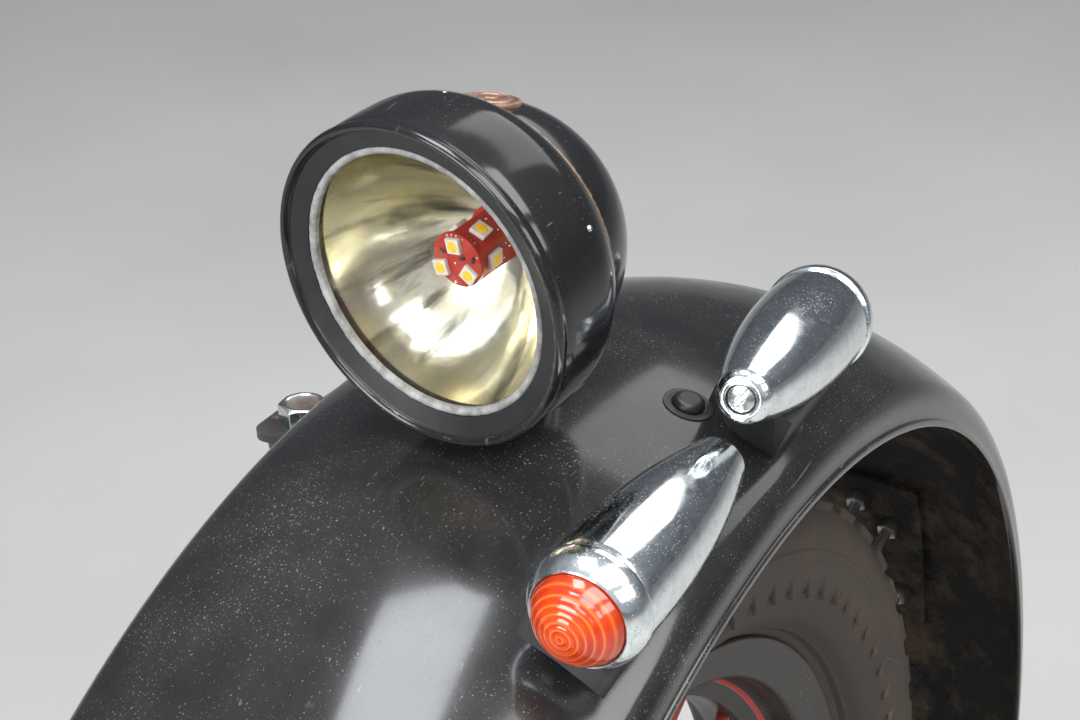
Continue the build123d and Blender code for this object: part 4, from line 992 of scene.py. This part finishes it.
def marker_lens(steps):
    """A lens that narrows in steps to its tip, with each point's radius kept for the finish."""
    radius, rise, flange = 12.6, 9.0, 13.5
    ball = (12.9**2 + rise**2) / (2 * rise)

    def height_at(reach):
        return rise - ball + sqrt(ball**2 - reach**2)

    lens = Outline(0, -4.4).line((flange, -4.4), (flange, -2.5), (12.85, -2.5), (12.85, 0.2))
    for step in range(steps):
        before, reach = radius * (1 - step / steps), radius * (1 - (step + 0.9) / steps)
        height = height_at(reach)
        through = ((before + reach) / 2 + 0.08, (height_at(before) + height) / 2 + 0.15)
        lens.arc(through, (reach, height), 4)
        if step < steps - 1:
            lens.line((reach - 0.08, height - 0.03))
    bm = lens.line((0, rise - 0.12)).spin(96)
    ring = bm.verts.layers.float.new("ring")
    for vert in bm.verts:
        vert[ring] = hypot(vert.co.x, vert.co.z)
    return bm


def drawn_pad(node, sizes, front, front_share, side, side_share):
    """A copy of a pad, its foot drawn along the mudguard past a front angle and past a side."""
    bm = merged_copy(node)
    for vert in bm.verts:
        spot = vert.co / MM - GUARD_CENTRE
        angle, across = degrees(atan2(spot.z, spot.x)), spot.y
        lift = hypot(spot.x, spot.z) - crown_radius(sizes, across)
        low = max(0.0, min(1.0, 1 - lift / PAD_HEIGHT))
        if angle < front:
            angle += (angle - front) * front_share * low
        if (across - side) * (side - PAD_MIDDLE) > 0:
            across += (across - side) * side_share * low
        out = crown_radius(sizes, across) + lift
        spot = Vector((out * cos(radians(angle)), across, out * sin(radians(angle))))
        vert.co = (GUARD_CENTRE + spot) * MM
    return round_edges(bm, 0.6 * MM, 38)


class SIDECAR_OT_marker_lamps(bpy.types.Operator):
    """Makes the two chrome marker lamps with their stepped amber lenses, pads and screws"""

    bl_idname = "sidecar.marker_lamps"
    bl_label = "Marker lamps"

    def execute(self, context):
        sizes, guard = context.scene.sidecar_lamps, context.scene.sidecar_guard
        widest, length = sizes.marker_radius, sizes.marker_length
        mouth, joint = 13.6, -9.4
        tail = -length
        for name, front, direction in MARKERS:
            place = placed(front, direction)
            casing = Outline(0, -24).line((mouth, -24), (mouth, joint), (widest - 0.75, joint))
            casing.arc((0.9 * widest, 0.52 * tail), (8.1, tail + 3.4), 28)
            casing.arc((7.2, tail + 1.2), (5.6, tail + 0.1), 6)
            casing.line((4.75, tail + 0.2), (4.7, tail + 1.6), (0, tail + 1.6))
            bm = round_edges(casing.spin(112), 0.2, 35)
            make_piece(bm, name + "_body", place, "chrome_cast", "chrome", name + "_casing", smooth=40)

            ring = Outline(13.0, -2.4).line((13.0, -0.3)).arc((13.3, 0.0), (13.8, -0.2), 3)
            ring.arc((15.7, -3.1), (widest, -7.8), 10).arc((widest - 0.1, -8.7), (widest - 0.7, joint), 4)
            bm = ring.line((mouth, joint), (mouth, -2.4)).close().spin(112)
            make_piece(bm, name + "_ring", place, "chrome_cast", "chrome", name + "_collar", smooth=40)

            bm = marker_lens(sizes.lens_steps)
            lens_name = name + "_amber_lens"
            make_piece(bm, lens_name, place, "amber_lens", "amber", name + "_lens", smooth=24)

            bm = merged_copy(name + "_fixings", place)
            gone = [vert for vert in bm.verts if vert.co.y < -60]
            bmesh.ops.delete(bm, geom=gone, context="VERTS")
            round_edges(bm, 0.3, 38)
            add_to(bm, slotted_head(3.75, 0.7), moved(0, tail + 0.1, 0) @ about("Y", 38))
            gap = Outline(0, tail + 0.75).line((4.4, tail + 0.75), (4.4, tail + 1.2), (0, tail + 1.2))
            add_to(bm, set_material(gap.spin(48), 1))
            ferrule = Outline(4.3, tail + 1.2).line((4.3, tail - 0.4))
            ferrule.arc((4.6, tail - 0.75), (4.95, tail - 0.4), 4).line((4.95, tail + 1.2)).close()
            add_to(bm, ferrule.spin(64))
            finishes = ("screw_chrome", "holder")
            make_piece(bm, name + "_screws", place, "chrome_cast", finishes, name + "_fixings")
            bm = drawn_pad(name + "_pad", guard, *PAD_FITS[name])
            make_piece(bm, name + "_rubber_pad", AS_IS, "soft_rubber", "pad_rubber", name + "_pad")
        return {"FINISHED"}


# Rows of tread blocks: across, radius, width, length, shift round the tyre in blocks, and tilt
TREAD = (
    (0.0, 279.2, 17.0, 13.0, 0.0, 0.0),
    (17.5, 277.0, 14.0, 12.5, 0.5, 8.0),
    (-17.5, 277.0, 14.0, 12.5, 0.5, -8.0),
    (34.0, 269.6, 17.5, 13.0, 0.0, 24.0),
    (-34.0, 269.6, 17.5, 13.0, 0.0, -24.0),
)


class SIDECAR_OT_tyre(bpy.types.Operator):
    """Makes the tyre: ribbed side walls, tread blocks and a few moulding hairs"""

    bl_idname = "sidecar.tyre"
    bl_label = "Tyre"

    def execute(self, context):
        sizes = context.scene.sidecar_tyre
        bead = ((204.0, 21.5), (206.6, 24.9), (217.0, 27.6), (219.4, 30.6), (220.6, 31.0))
        outline = Outline(204.0, 15.4).line(*bead, (221.4, 33.6), (223.0, 34.6), (224.4, 37.2))
        outline.arc((236.0, 43.6), (249.0, 45.4), 8).line((249.8, 46.0), (252.0, 46.0), (252.6, 45.3))
        side_wall = outline.arc((261.0, 44.0), (266.5, 40.6), 6).points()
        outline.arc((279.3, 0), (266.5, -40.6), 22).back(side_wall[:-1]).line((214.0, -20.0))
        outline.arc((246.0, -38.0), (262.0, -32.0), 8).arc((273.0, 0), (262.0, 32.0), 14)
        outline.arc((246.0, 38.0), (214.0, 20.0), 8).close()
        bm = round_edges(outline.spin(168), 0.3, 40)

        pitch = 360 / sizes.blocks
        for across, radius, width, length, shift, tilt in TREAD:
            block = cube(sizes.block_height, width, length * 1.55)
            outer = [vert for vert in block.verts if vert.co.x > 0]
            bmesh.ops.scale(block, vec=(1, 0.86, 0.86), verts=outer)
            cross = [edge for edge in block.edges if abs(edge.verts[0].co.y - edge.verts[1].co.y) > 1]
            bmesh.ops.subdivide_edges(block, edges=cross, cuts=1)
            for vert in block.verts:
                if abs(vert.co.y) < 0.5:
                    vert.co += Vector((-0.2, 0, 2.6))
            round_edges(block, 0.8, 40)
            transform(block, about("Y", shift * pitch) @ moved(radius, across, 0) @ about("Z", tilt))
            add_to(bm, repeated(block, sizes.blocks))

        bar = cube(13.0, 1.6, 1.9)
        bmesh.ops.scale(bar, vec=(0.9, 1, 0.55), verts=[vert for vert in bar.verts if vert.co.y > 0])
        round_edges(bar, 0.25, 40)
        transform(bar, moved(241.0, 44.6, 0) @ about("Z", -7) @ about("Y", 16))
        add_to(bm, repeated(bar, 84))

        for number in range(22):
            hair = bmesh.new()
            size = {"radius1": 0.28, "radius2": 0.12, "depth": 6.5}
            bmesh.ops.create_cone(hair, segments=6, matrix=moved(0, 0, 3.2), **size)
            radius = 236.0 + 17.0 * ((number * 0.618) % 1.0)
            rise = 43.0 if radius < 243 else 45.0
            tilt = about("X", -78 + 30 * sin(number * 2.1)) @ about("Y", 40 * cos(number * 1.7))
            add_to(bm, hair, about("Y", number * 137.5) @ moved(radius, rise, 0) @ tilt)
        rides = {"body": "wheel", "smooth": 40}
        make_piece(bm, "tyre_casing", WHEEL_PLACE, "tyre_rubber", "tyre", "tyre", **rides)
        return {"FINISHED"}


class SIDECAR_OT_wheel(bpy.types.Operator):
    """Makes the rim, nipples, valve, hub and hub cap, and gives the spokes their steel"""

    bl_idname = "sidecar.wheel"
    bl_label = "Rim, spokes and hub"

    def execute(self, context):
        rim = Outline(216.9, 27.9).arc((217.6, 29.2), (216.4, 30.4), 5).arc((210.0, 28.3), (203.0, 25.8), 6)
        rim.arc((201.2, 24.4), (200.6, 22.0), 4).line((200.6, 16.6)).arc((197.0, 11.6), (190.4, 9.0), 6)
        half = rim.arc((189.6, 5.0), (189.6, 0.0), 4).points()
        seat = ((192.0, 9.0), (203.0, 15.0), (203.0, 21.0), (205.4, 24.6))
        bm = rim.back(half[:-1]).back(seat).line(*seat).close().spin(200)
        rides = {"body": "wheel", "smooth": 40}
        make_piece(bm, "wheel_rim", WHEEL_PLACE, "black_paint", "rim_paint", "rim", **rides)
        softened("spoke_nipples", "nipples", "spoke_steel", "nipple", 0.35, "wheel")
        for spokes in ("outer_spokes", "inner_spokes"):
            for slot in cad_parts[spokes].material_slots:
                slot.material = finish_named("spoke_steel")
        softened("hub", "hub_body", "hub_alloy", "hub_alloy", 0.6, "wheel")
        softened("valve", "valve_stem", "soft_rubber", "pad_rubber", 0.3, "wheel")
        cap = Outline(0, 69.0).arc((9.5, 68.2), (17.0, 65.6), 8).arc((20.2, 63.2), (20.9, 58.8), 6)
        cap.line((20.4, 57.6), (20.9, 56.4), (20.9, 34.0)).arc((21.3, 31.6), (23.4, 30.1), 4)
        cap.line((19.1, 30.1), (19.1, 57.0)).arc((17.2, 63.0), (0, 66.6), 8)
        bm = round_edges(cap.spin(96), 0.25, 35)
        rides["smooth"] = 35
        make_piece(bm, "hub_cap_dome", WHEEL_PLACE, "chrome_cast", "cap_chrome", "hub_cap", **rides)
        return {"FINISHED"}


class SIDECAR_OT_carrier(bpy.types.Operator):
    """Finishes the axle carrier, stays and bridges"""

    bl_idname = "sidecar.carrier"
    bl_label = "Carrier, stays and bridges"

    def execute(self, context):
        softened("axle_carrier", "carrier_plate", "black_steel", "bracket", 0.8)
        for end, finish in (("front", "mud"), ("top", "bracket"), ("rear", "mud")):
            softened(end + "_stay", end + "_stay_tube", "black_steel", "stay", 0.6)
            bm = merged_copy(end + "_bridge")
            if end == "top":
                tip = min(vert.co.y for vert in bm.verts) + 0.5 * MM
                corners = []
                for edge in bm.edges:
                    a, b = (vert.co for vert in edge.verts)
                    if max(a.y, b.y) < tip and abs(a.z - b.z) > 2 * MM:
                        corners.append(edge)
                bevel(bm, corners, 10 * MM, 8)
            round_edges(bm, 0.4 * MM, 38)
            make_piece(bm, end + "_bridge_strap", AS_IS, "black_steel", finish, end + "_bridge")
        softened("stub_axle", "axle_stub", "zinc_steel", "zinc", 0.6)
        softened("axle_washer", "axle_washer_ring", "zinc_steel", "zinc", 0.2)
        softened("axle_nut", "axle_nut_hexagon", "zinc_steel", "zinc", 0.6)
        return {"FINISHED"}


def hexagon_head(half_flats, height, dish):
    """A hexagon head with chamfered corners and a dished top, which faces +Y at the origin."""
    bm = bmesh.new()
    bmesh.ops.create_circle(bm, segments=6, radius=half_flats / cos(pi / 6))
    bmesh.ops.subdivide_edges(bm, edges=bm.edges[:], cuts=9)
    outline = bm.edges[:]
    land, slope = 0.92, 0.58

    def next_ring(edges, height, radius=None):
        """Extrudes a ring to a height, and to a circle where a radius is given."""
        made = bmesh.ops.extrude_edge_only(bm, edges=edges)["geom"]
        fresh = {item for item in made if isinstance(item, bmesh.types.BMVert)}
        for vert in fresh:
            flat = Vector((vert.co.x, vert.co.y, 0))
            vert.co = flat if radius is None else flat.normalized() * radius
            vert.co.z = height
        made_edges = (item for item in made if isinstance(item, bmesh.types.BMEdge))
        return [edge for edge in made_edges if fresh.issuperset(edge.verts)]

    bmesh.ops.edgeloop_fill(bm, edges=next_ring(outline, -height))
    inside = outline
    for share, drop in ((land, 0.0), (0.80, 0.05), (0.72, 0.45), (0.50, 0.85), (0.22, 1.0)):
        inside = next_ring(inside, -dish * drop, share * half_flats)
    bmesh.ops.edgeloop_fill(bm, edges=inside)
    for vert in {vert for edge in outline for vert in edge.verts}:
        vert.co.z = -(hypot(vert.co.x, vert.co.y) - land * half_flats) * slope
    bmesh.ops.recalc_face_normals(bm, faces=bm.faces)
    return transform(bm, about("X", -90))


class SIDECAR_OT_bolts(bpy.types.Operator):
    """Makes the dome bolt and the hexagon bolts"""

    bl_idname = "sidecar.bolts"
    bl_label = "Bolts"

    def execute(self, context):
        for end in ("front", "top", "rear"):
            softened(end + "_bridge_bolts", end + "_crown_bolts", "zinc_steel", "zinc", 0.35)
            softened(end + "_stay_bolts", end + "_stay_hexagons", "zinc_steel", "zinc", 0.5)

        head_height, cut_depth = 6.4, 6.2
        bm = merged_copy("top_bolt")
        level = (face for face in bm.faces if face.normal.z > 0.9)
        top = max(level, key=lambda face: face.calc_center_median().z)
        middle, upright = top.calc_center_median(), top.normal.copy()
        corner = max(top.verts, key=lambda vert: (vert.co - middle).length).co - middle
        cut = {"plane_co": middle - upright * cut_depth * MM, "plane_no": upright, "clear_outer": True}
        bmesh.ops.bisect_plane(bm, geom=whole(bm), **cut)
        bmesh.ops.holes_fill(bm, edges=[edge for edge in bm.edges if edge.is_boundary], sides=0)
        round_edges(bm, 0.4 * MM, 38)
        head = round_edges(hexagon_head(7.15, head_height, 1.1), 0.18, 20)
        for face in head.faces:
            if face.normal.y > 0.2 and axis_distance(face) < 5.4:
                face.material_index = 1
        add_to(bm, head, placed(middle / MM, upright, corner))
        finishes = ("bright_zinc", "dull_zinc")
        make_piece(bm, "top_bolt_hexagon", AS_IS, "zinc_steel", finishes, "top_bolt", smooth=24)

        softened("dome_bolt", "dome_bolt_head", "black_paint", "well", 0.3)
        guard, angle, side = context.scene.sidecar_guard, radians(90.6), 40.0
        out, across = Vector((cos(angle), 0, sin(angle))), Vector((0, side, 0))
        seat = GUARD_CENTRE + out * crown_radius(guard, side) + across
        normal = out * sqrt(crown_bend(guard) ** 2 - side**2) + across
        dish = Outline(4.9, -0.4).line((4.9, 0.1)).arc((5.4, 0.3), (6.0, 0.2), 5)
        bm = dish.arc((6.7, 0.06), (7.4, -0.08), 4).line((7.4, -0.4)).close().spin(72)
        place = placed(seat, normal.normalized(), Vector((1, 0, 0)))
        make_piece(bm, "dome_bolt_dish", place, "black_paint", "well", smooth=60)
        return {"FINISHED"}


# Each light's place, size, power in watts and tint
LIGHTS = {
    "key": ((0.25, 1.1, 2.1), (2.6, 1.2), 62, (1.0, 0.99, 0.97)),
    "front": ((2.2, -0.5, 1.3), (1.6, 1.3), 62, (0.98, 0.99, 1.0)),
    "back": ((-1.9, 0.35, 2.0), (1.7, 1.1), 11, (1.0, 1.0, 1.0)),
    "overhead": ((0.12, -0.27, 2.4), (1.15, 0.8), 34, (0.93, 0.96, 1.0)),
    "ground": ((0.3, 2.6, 1.6), (2.2, 0.8), 30, (1.0, 1.0, 1.0)),
}
LIGHT_TARGET = Vector((0.0, 0.13, 0.30))

# The sky's brightest direction, and its colours from the darkest to the brightest
BRIGHT_SKY = (0.44, 0.24, 0.865)
SKY = (
    (0.0, (0.04, 0.04, 0.05)),
    (0.5, (0.16, 0.17, 0.19)),
    (0.8, (0.55, 0.58, 0.62)),
    (1.0, (0.9, 0.95, 1.0)),
)
FLOOR_HALF_WIDTH = 26.0

# The camera's place in metres, its direction and roll in degrees, and its lens and sensor in mm
CAMERA_PLACE = (0.47662, 0.37744, 0.61353)
CAMERA_AZIMUTH, CAMERA_RAISE, CAMERA_ROLL = 28.72, 26.73, 0.97
CAMERA_LENS, SENSOR_WIDTH = 71.8533, 36.0


def linked(name, data):
    """An object in the scene."""
    made = bpy.data.objects.new(name, data)
    bpy.context.scene.collection.objects.link(made)
    return made


class SIDECAR_OT_stage(bpy.types.Operator):
    """Sets the floor, lights and camera"""

    bl_idname = "sidecar.stage"
    bl_label = "Stage"

    def execute(self, context):
        scene = context.scene
        bm = bmesh.new()
        bmesh.ops.create_grid(bm, x_segments=2, y_segments=2, size=FLOOR_HALF_WIDTH)
        bmesh.ops.translate(bm, verts=bm.verts, vec=(0, 0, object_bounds()[0][2]))
        mesh = bpy.data.meshes.new("floor")
        bm.to_mesh(mesh)
        bm.free()
        ground = Finish("pale floor", Specular_IOR_Level=0.3)
        tone = ground.noise(3.0, 3.0)
        ground.colour = tone.ramp((0.3, (0.36, 0.355, 0.345)), (0.7, (0.39, 0.385, 0.375)))
        mesh.materials.append(ground.done(0.8))
        linked("floor", mesh)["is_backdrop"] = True

        world = scene.world or bpy.data.worlds.new("studio")
        scene.world = world
        world.use_nodes = True
        sky = Graph(world.node_tree)
        spot = sky.node("TexCoord")["Generated"]
        dot = {"operation": "DOT_PRODUCT"}
        up = sky.node("VectorMath", spot, BRIGHT_SKY, settings=dot)["Value"] * 0.5 + 0.5
        glow = up.ramp(*SKY)
        background = sky.tree.nodes["Background"]
        sky.fill(background.inputs["Color"], glow)
        sky.fill(background.inputs["Strength"], 0.8)

        for name, (place, size, power, colour) in LIGHTS.items():
            light = bpy.data.lights.new(name, "AREA")
            light.shape = "RECTANGLE"
            light.size, light.size_y = size
            light.energy = power
            light.color = colour
            holder = linked(name, light)
            holder.location = place
            holder.rotation_euler = (LIGHT_TARGET - Vector(place)).to_track_quat("-Z", "Y").to_euler()

        forward = -heading(CAMERA_AZIMUTH, CAMERA_RAISE)
        right = forward.cross(Vector((0, 0, 1))).normalized()
        down = forward.cross(right)
        roll = radians(CAMERA_ROLL)
        right, down = right * cos(roll) + down * sin(roll), down * cos(roll) - right * sin(roll)
        turn = Matrix((right, -down, -forward)).transposed().to_4x4()
        camera = bpy.data.cameras.new("view")
        camera.sensor_fit = "HORIZONTAL"
        camera.sensor_width = SENSOR_WIDTH
        camera.lens = CAMERA_LENS
        camera.clip_start = 0.02
        camera.clip_end = 60
        scene.camera = linked("view", camera)
        scene.camera.matrix_world = Matrix.Translation(CAMERA_PLACE) @ turn
        scene.view_settings.view_transform = "Standard"
        scene.view_settings.exposure = 0.0
        return {"FINISHED"}


OPERATORS = (
    SIDECAR_OT_mudguard,
    SIDECAR_OT_headlamp_body,
    SIDECAR_OT_headlamp_optics,
    SIDECAR_OT_marker_lamps,
    SIDECAR_OT_tyre,
    SIDECAR_OT_wheel,
    SIDECAR_OT_carrier,
    SIDECAR_OT_bolts,
    SIDECAR_OT_stage,
)

SETTINGS = {
    "sidecar_guard": GuardSettings,
    "sidecar_lamps": LampSettings,
    "sidecar_tyre": TyreSettings,
    "sidecar_finish": FinishSettings,
}


class SIDECAR_PT_panel(bpy.types.Panel):
    """Lists the settings and the pieces"""

    bl_idname = "SIDECAR_PT_panel"
    bl_label = "Sidecar wheel"
    bl_space_type = "VIEW_3D"
    bl_region_type = "UI"
    bl_category = "Sidecar"

    def draw(self, context):
        for name, group in SETTINGS.items():
            for key in group.__annotations__:
                self.layout.prop(getattr(context.scene, name), key)
        for operator in OPERATORS:
            self.layout.operator(operator.bl_idname)


def register():
    for name, group in SETTINGS.items():
        bpy.utils.register_class(group)
        setattr(bpy.types.Scene, name, PointerProperty(type=group))
    for item in (*OPERATORS, SIDECAR_PT_panel):
        bpy.utils.register_class(item)


def unregister():
    for item in (SIDECAR_PT_panel, *reversed(OPERATORS)):
        bpy.utils.unregister_class(item)
    for name, group in reversed(SETTINGS.items()):
        delattr(bpy.types.Scene, name)
        bpy.utils.unregister_class(group)


def main():
    """Builds every piece in order."""
    register()
    for operator in OPERATORS:
        area, name = operator.bl_idname.split(".")
        getattr(getattr(bpy.ops, area), name)()


if __name__ == "__main__":
    main()
